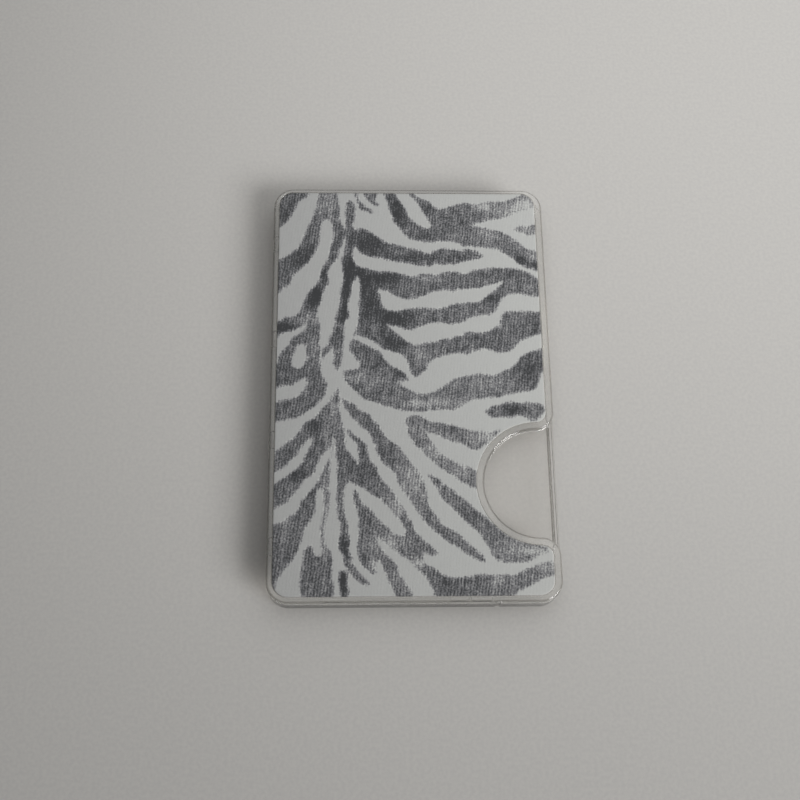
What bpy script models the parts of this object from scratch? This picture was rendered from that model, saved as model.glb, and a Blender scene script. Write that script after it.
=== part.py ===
# Magnetic phone card holder: a clear two-shell case for flat cards, with a printed sheet in its
# front face and a ring of magnets in its back. It lies on its back: +X is the side with the thumb
# notch, +Y is the open end where the cards go in, +Z is the printed face. All sizes are in metres.

import math

import bmesh
import bpy

MM = 0.001

# Overall size of the case
BODY_WIDTH = 56.8 * MM
BODY_LENGTH = 88.3 * MM
BODY_THICKNESS = 5.3 * MM
BODY_CORNER = 4.3 * MM
EDGE_ROUND = 0.3 * MM

# Heights of the layers, from the back face up
FLOOR_THICKNESS = 2.0 * MM
CARD_SPACE = 2.0 * MM
SEAM_HEIGHT = 3.2 * MM
WALL_SIDE = 1.2 * MM
WALL_END = 1.3 * MM
CAVITY_CORNER = 3.0 * MM
MOUTH_RELIEF = 4.4 * MM

# Clear border between the printed sheet and the edge of the case
RIM_LEFT = 1.2 * MM
RIM_RIGHT = 1.6 * MM
RIM_TOP = 1.0 * MM
RIM_BOTTOM = 1.3 * MM
RIM_NOTCH = 1.65 * MM
SHEET_CORNER = 3.0 * MM

# Printed sheet and the film under it
SHEET_THICKNESS = 0.5 * MM
FILM_THICKNESS = 0.1 * MM
SHEET_BELOW_RIM = 0.05 * MM
SHEET_CLEARANCE = 0.08 * MM
FILM_INSET = 0.6 * MM

# Thumb notch in the right side
NOTCH_RADIUS = 10.9 * MM
NOTCH_INSET = 3.5 * MM
NOTCH_FROM_BASE = 23.45 * MM
NOTCH_MOUTH_RADIUS = 3.7 * MM
LIP_THICKNESS = 0.85 * MM
LIP_FILLET = 1.2 * MM
BAY_HALF_LENGTH = 11.9 * MM
BAY_DEPTH = 8.0 * MM

# Snap tabs along the left side and the closed end
TAB_THICKNESS = 0.5 * MM
TAB_HEIGHT = 0.95 * MM
TAB_CLEARANCE = 0.08 * MM
TAB_ROOT = 0.3 * MM
SIDE_TAB_LENGTH = 3.4 * MM
SIDE_TAB_FROM_TOP = 12.65 * MM
SIDE_TAB_FROM_BASE = 11.15 * MM
SIDE_TAB_COUNT = 4
LEFT_END_TAB_X = 15.4 * MM
LEFT_END_TAB_LENGTH = 3.7 * MM
MIDDLE_END_TAB_X = 8.5 * MM
MIDDLE_END_TAB_LENGTH = 3.5 * MM
RIGHT_END_TAB_X = 12.75 * MM
RIGHT_END_TAB_LENGTH = 3.9 * MM
CATCH_HEIGHT = 0.35 * MM
WINDOW_HEIGHT = 0.5 * MM
HOOK_REACH = 0.35 * MM
HOOK_CLEARANCE = 0.05 * MM
GATE_X = 16.0 * MM
GATE_WIDTH = 0.8 * MM
GATE_DEPTH = 0.2 * MM

# Ring of magnets in the back
RING_SIDE_WALL = 1.3 * MM
RING_TOP_WALL = 3.4 * MM
RING_WIDTH = 4.2 * MM
RING_POCKET_DEPTH = 1.5 * MM
RING_CLEARANCE = 0.1 * MM
SHIELD_THICKNESS = 0.3 * MM
MAGNET_THICKNESS = 0.8 * MM
COVER_RECESS = 0.05 * MM
MAGNET_COUNT = 16
MAGNET_GAP = 0.5 * MM

# Magnet bar that keeps the case upright on the phone
BAR_WIDTH = 6.4 * MM
BAR_BELOW_RING = 3.2 * MM
BAR_FROM_BASE = 7.5 * MM
BAR_CORNER = 1.0 * MM

# Smoothness of the curved outlines
CORNER_STEPS = 10
NOTCH_STEPS = 48
MOUTH_STEPS = 10
RING_STEPS = 120
MAGNET_STEPS = 5
FILLET_STEPS = 8
CUT_MARGIN = 0.5 * MM

HALF_WIDTH = BODY_WIDTH / 2
HALF_LENGTH = BODY_LENGTH / 2
CAVITY_TOP = FLOOR_THICKNESS + CARD_SPACE
RECESS_DEPTH = SHEET_BELOW_RIM + SHEET_THICKNESS + FILM_THICKNESS
RECESS_FLOOR = BODY_THICKNESS - RECESS_DEPTH
NOTCH_X = HALF_WIDTH - NOTCH_INSET
NOTCH_Y = NOTCH_FROM_BASE - HALF_LENGTH
RING_POCKET_OUTER = HALF_WIDTH - RING_SIDE_WALL
RING_POCKET_INNER = RING_POCKET_OUTER - RING_WIDTH
RING_Y = HALF_LENGTH - RING_TOP_WALL - RING_POCKET_OUTER
BAR_TOP = RING_Y - RING_POCKET_OUTER - BAR_BELOW_RING
BAR_BOTTOM = BAR_FROM_BASE - HALF_LENGTH


def clear_scene():
    for old in list(bpy.data.objects):
        bpy.data.objects.remove(old, do_unlink=True)


def make_material(name, colour, metallic, roughness):
    material = bpy.data.materials.new(name)
    material.use_nodes = True
    shader = material.node_tree.nodes["Principled BSDF"]
    shader.inputs["Base Color"].default_value = (*colour, 1.0)
    shader.inputs["Metallic"].default_value = metallic
    shader.inputs["Roughness"].default_value = roughness
    return material


def arc(x, y, radius, start, end, steps):
    """Points on a circle from one angle to another, in degrees, both ends included."""
    points = []
    for step in range(steps + 1):
        angle = math.radians(start + (end - start) * step / steps)
        points.append((x + radius * math.cos(angle), y + radius * math.sin(angle)))
    return points


def rounded_box_outline(left, right, bottom, top, radius):
    """A rectangle with equal rounded corners, anticlockwise from its lower left."""
    points = arc(left + radius, bottom + radius, radius, 180, 270, CORNER_STEPS)
    points += arc(right - radius, bottom + radius, radius, 270, 360, CORNER_STEPS)
    points += arc(right - radius, top - radius, radius, 0, 90, CORNER_STEPS)
    points += arc(left + radius, top - radius, radius, 90, 180, CORNER_STEPS)
    return points


def notched_outline(left, right, bottom, top, radius, notch_radius, mouth_radius):
    """The same rectangle with the thumb notch let into its right side."""
    mouth_x = right - mouth_radius
    aside = mouth_x - NOTCH_X
    rise = math.sqrt((notch_radius + mouth_radius) ** 2 - aside**2)
    to_mouth = math.degrees(math.atan2(rise, aside))
    to_notch = math.degrees(math.atan2(rise, -aside))
    points = arc(left + radius, bottom + radius, radius, 180, 270, CORNER_STEPS)
    points += arc(right - radius, bottom + radius, radius, 270, 360, CORNER_STEPS)
    points += arc(mouth_x, NOTCH_Y - rise, mouth_radius, 0, to_notch, MOUTH_STEPS)
    points += arc(NOTCH_X, NOTCH_Y, notch_radius, -to_mouth, to_mouth - 360, NOTCH_STEPS)[1:-1]
    points += arc(mouth_x, NOTCH_Y + rise, mouth_radius, -to_notch, 0, MOUTH_STEPS)
    points += arc(right - radius, top - radius, radius, 0, 90, CORNER_STEPS)
    points += arc(left + radius, top - radius, radius, 90, 180, CORNER_STEPS)
    return points


def closed_spline(curve, points):
    spline = curve.splines.new("POLY")
    spline.points.add(len(points) - 1)
    for target, (x, y) in zip(spline.points, points):
        target.co = (x, y, 0.0, 1.0)
    spline.use_cyclic_u = True


def mesh_from_curve(name, curve, collection):
    """Turns a filled curve into a closed mesh object with its seams welded."""
    holder = bpy.data.objects.new(name + "_curve", curve)
    bpy.context.scene.collection.objects.link(holder)
    bpy.context.view_layer.update()
    evaluated = holder.evaluated_get(bpy.context.evaluated_depsgraph_get())
    mesh = bpy.data.meshes.new_from_object(evaluated)
    bpy.data.objects.remove(holder, do_unlink=True)
    solid = bpy.data.objects.new(name, mesh)
    collection.objects.link(solid)
    weld = solid.modifiers.new("weld", "WELD")
    weld.merge_threshold = BODY_WIDTH * 1e-6
    return solid


def slab(name, outlines, low, high, collection):
    """A flat solid between two heights, from an outline and any holes in it."""
    curve = bpy.data.curves.new(name, "CURVE")
    curve.dimensions = "2D"
    curve.fill_mode = "BOTH"
    curve.extrude = (high - low) / 2
    for points in outlines:
        closed_spline(curve, points)
    solid = mesh_from_curve(name, curve, collection)
    middle = (low + high) / 2
    for vertex in solid.data.vertices:
        vertex.co.z += middle
    return solid


def box_outline(left, right, bottom, top):
    return [(left, bottom), (right, bottom), (right, top), (left, top)]


def cut(target, cutter):
    modifier = target.modifiers.new("cut", "BOOLEAN")
    modifier.operation = "DIFFERENCE"
    modifier.solver = "EXACT"
    modifier.object = cutter
    cutter.hide_render = True
    cutter.display_type = "WIRE"


def join(target, addition):
    modifier = target.modifiers.new("join", "BOOLEAN")
    modifier.operation = "UNION"
    modifier.solver = "EXACT"
    modifier.object = addition
    addition.hide_render = True
    addition.display_type = "WIRE"


def round_edges(solid, width):
    """Rounds the outer edges before any cut is made, so only the slab's own rims turn soft."""
    bevel = solid.modifiers.new("round", "BEVEL")
    bevel.width = width
    bevel.segments = 3
    bevel.limit_method = "ANGLE"
    bevel.angle_limit = math.radians(60)
    return bevel


def side_tab_centres():
    """Distances of the left side's tabs from the case's middle, starting near the open end."""
    first = HALF_LENGTH - SIDE_TAB_FROM_TOP
    last = SIDE_TAB_FROM_BASE - HALF_LENGTH
    pitch = (first - last) / (SIDE_TAB_COUNT - 1)
    return [first - pitch * number for number in range(SIDE_TAB_COUNT)]


def end_tabs():
    """Middle and length of each tab in the closed end."""
    return [
        (-LEFT_END_TAB_X, LEFT_END_TAB_LENGTH),
        (MIDDLE_END_TAB_X, MIDDLE_END_TAB_LENGTH),
        (RIGHT_END_TAB_X, RIGHT_END_TAB_LENGTH),
    ]


def side_tab_inner():
    return -HALF_WIDTH + WALL_SIDE - TAB_CLEARANCE


def end_tab_inner():
    return -HALF_LENGTH + WALL_END - TAB_CLEARANCE


def tab_outlines(grow):
    """Footprints of all the tabs, or of the slots that take them when grown."""
    outlines = []
    inner = side_tab_inner()
    for centre in side_tab_centres():
        half = SIDE_TAB_LENGTH / 2 + grow
        outlines.append(box_outline(inner - TAB_THICKNESS - grow, inner, centre - half, centre + half))
    inner = end_tab_inner()
    for centre, length in end_tabs():
        half = length / 2 + grow
        outlines.append(box_outline(centre - half, centre + half, inner - TAB_THICKNESS - grow, inner))
    return outlines


def window_outlines():
    """Small openings from each slot out through the wall."""
    outlines = []
    outer = -HALF_WIDTH - CUT_MARGIN
    inner = side_tab_inner() - TAB_THICKNESS / 2
    for centre in side_tab_centres():
        half = SIDE_TAB_LENGTH / 2 - TAB_CLEARANCE
        outlines.append(box_outline(outer, inner, centre - half, centre + half))
    outer = -HALF_LENGTH - CUT_MARGIN
    inner = end_tab_inner() - TAB_THICKNESS / 2
    for centre, length in end_tabs():
        half = length / 2 - TAB_CLEARANCE
        outlines.append(box_outline(centre - half, centre + half, outer, inner))
    return outlines


def hook_profile(outer):
    """Barb on a tab, flat below where it catches and sloped above so that it slides in.

    outer is the tab's outer face, measured towards the outside of the case.
    """
    low = SEAM_HEIGHT + CATCH_HEIGHT + HOOK_CLEARANCE
    high = SEAM_HEIGHT + CATCH_HEIGHT + WINDOW_HEIGHT - HOOK_CLEARANCE
    root = outer - TAB_THICKNESS / 2
    return [(root, low), (outer + HOOK_REACH, low), (outer, high), (root, high)]


def build_hooks(tools):
    """One barb for each tab, with its length a little less than the tab's window."""
    hooks = []
    outer = HALF_WIDTH - WALL_SIDE + TAB_CLEARANCE + TAB_THICKNESS
    profile = [(-reach, height) for reach, height in hook_profile(outer)]
    half = SIDE_TAB_LENGTH / 2 - TAB_CLEARANCE - HOOK_CLEARANCE
    for centre in side_tab_centres():
        hooks.append(prism("side_hook", profile, centre - half, centre + half, False, tools))
    outer = HALF_LENGTH - WALL_END + TAB_CLEARANCE + TAB_THICKNESS
    profile = [(-reach, height) for reach, height in hook_profile(outer)]
    for centre, length in end_tabs():
        half = length / 2 - TAB_CLEARANCE - HOOK_CLEARANCE
        hooks.append(prism("end_hook", profile, centre - half, centre + half, True, tools))
    return hooks


def gate_cutter(collection):
    """Small flat left in the closed end where the moulding gate was trimmed."""
    outline = box_outline(
        GATE_X - GATE_WIDTH / 2,
        GATE_X + GATE_WIDTH / 2,
        -HALF_LENGTH - CUT_MARGIN,
        -HALF_LENGTH + GATE_DEPTH,
    )
    return slab("gate_cutter", [outline], -CUT_MARGIN, BODY_THICKNESS + CUT_MARGIN, collection)


def cavity_outline():
    """Card space: closed at its lower end and open past the upper end of the case."""
    left = -HALF_WIDTH + WALL_SIDE
    right = HALF_WIDTH - WALL_SIDE
    bottom = -HALF_LENGTH + WALL_END
    top = HALF_LENGTH + CUT_MARGIN
    points = arc(left + CAVITY_CORNER, bottom + CAVITY_CORNER, CAVITY_CORNER, 180, 270, CORNER_STEPS)
    points += arc(right - CAVITY_CORNER, bottom + CAVITY_CORNER, CAVITY_CORNER, 270, 360, CORNER_STEPS)
    points += [(right, top), (left, top)]
    return points


def relief_outline():
    """Strip across the open end where the side walls stop short."""
    reach = HALF_WIDTH + CUT_MARGIN
    return box_outline(-reach, reach, HALF_LENGTH - MOUTH_RELIEF, HALF_LENGTH + CUT_MARGIN)


def prism(name, profile, start, end, along_x, collection):
    """A solid of one side-view profile, drawn out along X or along Y between two places."""
    count = len(profile)
    if along_x:
        vertices = [(start, across, up) for across, up in profile]
        vertices += [(end, across, up) for across, up in profile]
    else:
        vertices = [(across, start, up) for across, up in profile]
        vertices += [(across, end, up) for across, up in profile]
    faces = [tuple(range(count)), tuple(reversed(range(count, 2 * count)))]
    for index in range(count):
        following = (index + 1) % count
        faces.append((following, index, index + count, following + count))
    mesh = bpy.data.meshes.new(name)
    mesh.from_pydata(vertices, [], faces)
    build = bmesh.new()
    build.from_mesh(mesh)
    bmesh.ops.recalc_face_normals(build, faces=build.faces)
    build.to_mesh(mesh)
    build.free()
    solid = bpy.data.objects.new(name, mesh)
    collection.objects.link(solid)
    return solid


def thumb_bay_cutter(collection):
    """Hollow behind the low lip, with a round root where the lip meets the floor."""
    right = HALF_WIDTH - LIP_THICKNESS
    low = FLOOR_THICKNESS
    high = CAVITY_TOP + CUT_MARGIN
    fillet = arc(right - LIP_FILLET, low + LIP_FILLET, LIP_FILLET, -90, 0, FILLET_STEPS)
    profile = [(right - BAY_DEPTH, high), (right - BAY_DEPTH, low)] + fillet + [(right, high)]
    near = NOTCH_Y - BAY_HALF_LENGTH
    far = NOTCH_Y + BAY_HALF_LENGTH
    return prism("thumb_bay_cutter", profile, near, far, False, collection)


def circle_outline(x, y, radius):
    return arc(x, y, radius, 0, 360, RING_STEPS)[:-1]


def ring_outlines(inner, outer):
    return [circle_outline(0.0, RING_Y, outer), circle_outline(0.0, RING_Y, inner)]


def bar_outline(inset):
    half_width = BAR_WIDTH / 2 - inset
    radius = BAR_CORNER - inset
    return rounded_box_outline(-half_width, half_width, BAR_BOTTOM + inset, BAR_TOP - inset, radius)


def build_back_tray(collection, tools):
    outline = rounded_box_outline(-HALF_WIDTH, HALF_WIDTH, -HALF_LENGTH, HALF_LENGTH, BODY_CORNER)
    tray = slab("back_tray", [outline], 0.0, SEAM_HEIGHT, collection)
    round_edges(tray, EDGE_ROUND)
    cut(tray, slab("tray_cavity", [cavity_outline()], FLOOR_THICKNESS, SEAM_HEIGHT + CUT_MARGIN, tools))
    cut(tray, slab("tray_relief", [relief_outline()], FLOOR_THICKNESS, SEAM_HEIGHT + CUT_MARGIN, tools))
    cut(tray, thumb_bay_cutter(tools))
    pocket = ring_outlines(RING_POCKET_INNER, RING_POCKET_OUTER)
    cut(tray, slab("ring_pocket", pocket, -CUT_MARGIN, RING_POCKET_DEPTH, tools))
    cut(tray, slab("bar_pocket", [bar_outline(0.0)], -CUT_MARGIN, RING_POCKET_DEPTH, tools))
    cut(tray, gate_cutter(tools))
    tab_root = SEAM_HEIGHT - TAB_ROOT
    tab_top = SEAM_HEIGHT + TAB_HEIGHT - TAB_CLEARANCE
    for number, footprint in enumerate(tab_outlines(0.0)):
        join(tray, slab(f"tray_tab_{number}", [footprint], tab_root, tab_top, tools))
    for hook in build_hooks(tools):
        join(tray, hook)
    return tray


def cover_outline():
    return notched_outline(
        -HALF_WIDTH,
        HALF_WIDTH,
        -HALF_LENGTH,
        HALF_LENGTH,
        BODY_CORNER,
        NOTCH_RADIUS,
        NOTCH_MOUTH_RADIUS,
    )


def sheet_outline(inset):
    """Outline of the printed sheet, drawn in by the given distance all round."""
    return notched_outline(
        -HALF_WIDTH + RIM_LEFT + inset,
        HALF_WIDTH - RIM_RIGHT - inset,
        -HALF_LENGTH + RIM_BOTTOM + inset,
        HALF_LENGTH - RIM_TOP - inset,
        SHEET_CORNER - inset,
        NOTCH_RADIUS + RIM_NOTCH + inset,
        NOTCH_MOUTH_RADIUS - RIM_NOTCH - inset,
    )


def build_front_cover(collection, tools):
    cover = slab("front_cover", [cover_outline()], SEAM_HEIGHT, BODY_THICKNESS, collection)
    round_edges(cover, EDGE_ROUND)
    below = SEAM_HEIGHT - CUT_MARGIN
    cut(cover, slab("cover_cavity", [cavity_outline()], below, CAVITY_TOP, tools))
    cut(cover, slab("cover_relief", [relief_outline()], below, CAVITY_TOP, tools))
    recess = sheet_outline(-SHEET_CLEARANCE)
    cut(cover, slab("sheet_recess", [recess], RECESS_FLOOR, BODY_THICKNESS + CUT_MARGIN, tools))
    slot_top = SEAM_HEIGHT + TAB_HEIGHT
    for number, footprint in enumerate(tab_outlines(TAB_CLEARANCE)):
        cut(cover, slab(f"tab_slot_{number}", [footprint], below, slot_top, tools))
    window_low = SEAM_HEIGHT + CATCH_HEIGHT
    window_top = window_low + WINDOW_HEIGHT
    for number, footprint in enumerate(window_outlines()):
        cut(cover, slab(f"tab_window_{number}", [footprint], window_low, window_top, tools))
    cut(cover, gate_cutter(tools))
    return cover


def build_printed_sheet(collection):
    low = RECESS_FLOOR + FILM_THICKNESS
    return slab("printed_sheet", [sheet_outline(0.0)], low, low + SHEET_THICKNESS, collection)


def build_sheet_film(collection):
    outline = sheet_outline(FILM_INSET)
    return slab("sheet_film", [outline], RECESS_FLOOR, RECESS_FLOOR + FILM_THICKNESS, collection)


def build_shield_ring(collection):
    outlines = ring_outlines(RING_POCKET_INNER + RING_CLEARANCE, RING_POCKET_OUTER - RING_CLEARANCE)
    return slab("shield_ring", outlines, RING_POCKET_DEPTH - SHIELD_THICKNESS, RING_POCKET_DEPTH, collection)


def build_ring_cover(collection):
    outlines = ring_outlines(RING_POCKET_INNER + RING_CLEARANCE, RING_POCKET_OUTER - RING_CLEARANCE)
    top = RING_POCKET_DEPTH - SHIELD_THICKNESS - MAGNET_THICKNESS
    return slab("ring_cover", outlines, COVER_RECESS, top, collection)


def build_magnet(number, collection):
    """One arc of the ring. The gap to the next arc has the same width from inside to outside."""
    inner = RING_POCKET_INNER + RING_CLEARANCE
    outer = RING_POCKET_OUTER - RING_CLEARANCE
    pitch = 360 / MAGNET_COUNT
    middle = pitch * (number + 0.5)
    inner_half = pitch / 2 - math.degrees(MAGNET_GAP / 2 / inner)
    outer_half = pitch / 2 - math.degrees(MAGNET_GAP / 2 / outer)
    points = arc(0.0, RING_Y, outer, middle - outer_half, middle + outer_half, MAGNET_STEPS)
    points += arc(0.0, RING_Y, inner, middle + inner_half, middle - inner_half, MAGNET_STEPS)
    high = RING_POCKET_DEPTH - SHIELD_THICKNESS
    return slab(f"ring_magnet_{number + 1:02d}", [points], high - MAGNET_THICKNESS, high, collection)


def build_bar_shield(collection):
    low = RING_POCKET_DEPTH - SHIELD_THICKNESS
    return slab("bar_shield", [bar_outline(RING_CLEARANCE)], low, RING_POCKET_DEPTH, collection)


def build_bar_magnet(collection):
    high = RING_POCKET_DEPTH - SHIELD_THICKNESS
    return slab("bar_magnet", [bar_outline(RING_CLEARANCE)], high - MAGNET_THICKNESS, high, collection)


def build_bar_cover(collection):
    top = RING_POCKET_DEPTH - SHIELD_THICKNESS - MAGNET_THICKNESS
    return slab("bar_cover", [bar_outline(RING_CLEARANCE)], COVER_RECESS, top, collection)


def main():
    clear_scene()
    root = bpy.context.scene.collection
    tools = bpy.data.collections.new("tools")
    root.children.link(tools)
    clear_plastic = make_material("clear_plastic", (0.86, 0.87, 0.86), 0.0, 0.08)
    printed_card = make_material("printed_card", (0.72, 0.72, 0.72), 0.0, 0.75)
    adhesive_film = make_material("adhesive_film", (0.85, 0.85, 0.84), 0.0, 0.5)
    magnet_nickel = make_material("magnet_nickel", (0.7, 0.69, 0.66), 1.0, 0.3)
    shield_steel = make_material("shield_steel", (0.55, 0.56, 0.57), 1.0, 0.4)
    white_film = make_material("white_film", (0.88, 0.88, 0.87), 0.0, 0.45)
    pieces = [
        (build_back_tray(root, tools), clear_plastic),
        (build_front_cover(root, tools), clear_plastic),
        (build_printed_sheet(root), printed_card),
        (build_sheet_film(root), adhesive_film),
        (build_shield_ring(root), shield_steel),
        (build_ring_cover(root), white_film),
        (build_bar_shield(root), shield_steel),
        (build_bar_magnet(root), magnet_nickel),
        (build_bar_cover(root), white_film),
    ]
    for number in range(MAGNET_COUNT):
        pieces.append((build_magnet(number, root), magnet_nickel))
    for solid, material in pieces:
        solid.data.materials.clear()
        solid.data.materials.append(material)


main()
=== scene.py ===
"""Looks of a clear two-shell card holder with a woven zebra insert and a ring of magnets in its back.

The case lies on its back. X runs to the side with the thumb notch, Y to the open end, Z up through
the printed face. Lengths are in metres, and MM turns millimetres into them.
"""

import logging
import math
from collections.abc import Callable, Sequence
from dataclasses import dataclass, field
from enum import Enum
from functools import partial
from itertools import product

import bmesh
import bpy
import numpy as np
from mathutils import Matrix, Vector
from mathutils.geometry import delaunay_2d_cdt


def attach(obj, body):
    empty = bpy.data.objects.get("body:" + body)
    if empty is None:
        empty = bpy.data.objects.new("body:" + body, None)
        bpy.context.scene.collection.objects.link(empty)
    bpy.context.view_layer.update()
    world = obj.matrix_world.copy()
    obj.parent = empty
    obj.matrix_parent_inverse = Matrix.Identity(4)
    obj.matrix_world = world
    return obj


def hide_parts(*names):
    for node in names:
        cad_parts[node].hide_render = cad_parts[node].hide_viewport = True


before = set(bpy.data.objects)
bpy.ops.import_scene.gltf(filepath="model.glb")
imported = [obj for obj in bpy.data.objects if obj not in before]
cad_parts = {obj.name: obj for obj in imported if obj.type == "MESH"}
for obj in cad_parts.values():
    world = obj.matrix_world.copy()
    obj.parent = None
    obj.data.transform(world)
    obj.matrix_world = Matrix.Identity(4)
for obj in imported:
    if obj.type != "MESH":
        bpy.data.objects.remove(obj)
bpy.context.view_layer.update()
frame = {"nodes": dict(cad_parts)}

MM = 0.001
BODY = "root"
CLEARANCE = 0.5 * MM
WELD_REACH = 0.002 * MM
SLIVER = 0.0005 * MM
BACKDROP = "#B6B6B4"

Point = tuple[float, float]
Corner = tuple[float, float, float]
Face = tuple[int, ...]
Outline = list[Point]
Ring = tuple[Outline, float]
Stops = tuple[tuple[float, str], ...]
Piece = bpy.types.Object
Material = bpy.types.Material
Socket = bpy.types.NodeSocket
AddNode = Callable[..., Socket]

log = logging.getLogger("card_holder")


# Colours, nodes and materials


def linear(code: str) -> tuple[float, float, float, float]:
    """Turns an sRGB hex colour into the linear colour that a shader takes.

    Args:
        code: six hex digits after a hash.

    Returns:
        Linear red, green and blue, and an alpha of one.
    """
    shares = [int(code[start : start + 2], 16) / 255 for start in (1, 3, 5)]
    red, green, blue = (s / 12.92 if s <= 0.04045 else ((s + 0.055) / 1.055) ** 2.4 for s in shares)
    return red, green, blue, 1.0


def add_node(
    tree: bpy.types.NodeTree,
    kind: str,
    inputs: dict[str, object] | Sequence[object] = (),
    give: str | int = 0,
    stops: Stops = (),
    **settings: object,
) -> Socket | None:
    """Adds one shader node with its settings, values and links.

    Args:
        tree: the node tree that the node goes into.
        kind: the node's type, without the words that all shader nodes start with.
        inputs: a value or an output socket for each input, by name or in order.
        give: the output to hand back.
        stops: places and hex colours, for a colour ramp.
        settings: the node's own settings by name.

    Returns:
        The output asked for, or nothing from a node without outputs.
    """
    node = tree.nodes.new("ShaderNode" + kind)
    for name, value in settings.items():
        setattr(node, name, value)
    for name, value in inputs.items() if isinstance(inputs, dict) else enumerate(inputs):
        if isinstance(value, Socket):
            tree.links.new(value, node.inputs[name])
        else:
            node.inputs[name].default_value = value
    for number, (place, code) in enumerate(stops):
        ramp = node.color_ramp.elements
        stop = ramp[number] if number < len(ramp) else ramp.new(place)
        stop.position = place
        stop.color = linear(code)
    return node.outputs[give] if node.outputs else None


def new_material(name: str) -> tuple[Material, AddNode]:
    """Makes an empty material.

    Args:
        name: the material's name.

    Returns:
        The material, and the function that adds nodes to it.
    """
    material = bpy.data.materials.new(name)
    material.use_nodes = True
    material.node_tree.nodes.clear()
    return material, partial(add_node, material.node_tree)


def seen_directly(add: AddNode) -> Socket:
    """Finds the rays that show what they meet, straight, in gloss or through plastic.

    Args:
        add: the function that adds nodes to the material or the world.

    Returns:
        One for those rays, and nought for the ones that only carry light.
    """
    seen = add("LightPath", give="Is Camera Ray")
    for name in ("Is Glossy Ray", "Is Transmission Ray"):
        seen = add("Math", (seen, add("LightPath", give=name)), operation="MAXIMUM")
    return seen


# Outlines


def arc(centre: Point, radius: float, start: float, end: float, steps: int) -> Outline:
    """Finds points on a circle from one angle to another.

    Args:
        centre: middle of the circle.
        radius: its radius.
        start: first angle in degrees.
        end: last angle in degrees.
        steps: number of equal steps between them.

    Returns:
        The points, both ends included.
    """
    angles = [math.radians(start + (end - start) * step / steps) for step in range(steps + 1)]
    return [(centre[0] + radius * math.cos(a), centre[1] + radius * math.sin(a)) for a in angles]


def box_outline(left: float, right: float, bottom: float, top: float) -> Outline:
    """Gives the four corners of a rectangle, anticlockwise."""
    return [(left, bottom), (right, bottom), (right, top), (left, top)]


@dataclass(frozen=True)
class Border:
    """Rectangle with rounded corners, and where it is asked for a thumb notch in its right side."""

    left: float
    right: float
    bottom: float
    top: float
    corner: float
    notch: Point = (0.0, 0.0)
    notch_radius: float = 0.0
    mouth_radius: float = 0.0
    corner_steps: int = 20
    notch_steps: int = 120
    mouth_steps: int = 24

    def outline(self, inset: float = 0.0) -> Outline:
        """Draws the border, moved inwards by the same distance all round.

        Args:
            inset: how far in the outline lies.

        Returns:
            Points anticlockwise from the lower left, the same number for every inset.
        """
        radius = self.corner - inset
        left = self.left + inset
        right = self.right - inset
        bottom = self.bottom + inset
        top = self.top - inset
        steps = self.corner_steps
        points = arc((left + radius, bottom + radius), radius, 180, 270, steps)
        points += arc((right - radius, bottom + radius), radius, 270, 360, steps)
        if self.notch_radius:
            points += self.notch_run(right, inset)
        points += arc((right - radius, top - radius), radius, 0, 90, steps)
        points += arc((left + radius, top - radius), radius, 90, 180, steps)
        return points

    def notch_run(self, right: float, inset: float) -> Outline:
        """Draws the notch with its two rounded mouths.

        Args:
            right: where the straight side lies.
            inset: how far in the outline lies.

        Returns:
            Points from the lower mouth to the upper one.
        """
        mouth = self.mouth_radius - inset
        radius = self.notch_radius + inset
        mouth_x = right - mouth
        x, y = self.notch
        aside = mouth_x - x
        rise = math.sqrt((radius + mouth) ** 2 - aside**2)
        to_mouth = math.degrees(math.atan2(rise, aside))
        to_notch = math.degrees(math.atan2(rise, -aside))
        points = arc((mouth_x, y - rise), mouth, 0, to_notch, self.mouth_steps)
        points += arc((x, y), radius, -to_mouth, to_mouth - 360, self.notch_steps)[1:-1]
        points += arc((mouth_x, y + rise), mouth, -to_notch, 0, self.mouth_steps)
        return points


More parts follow.
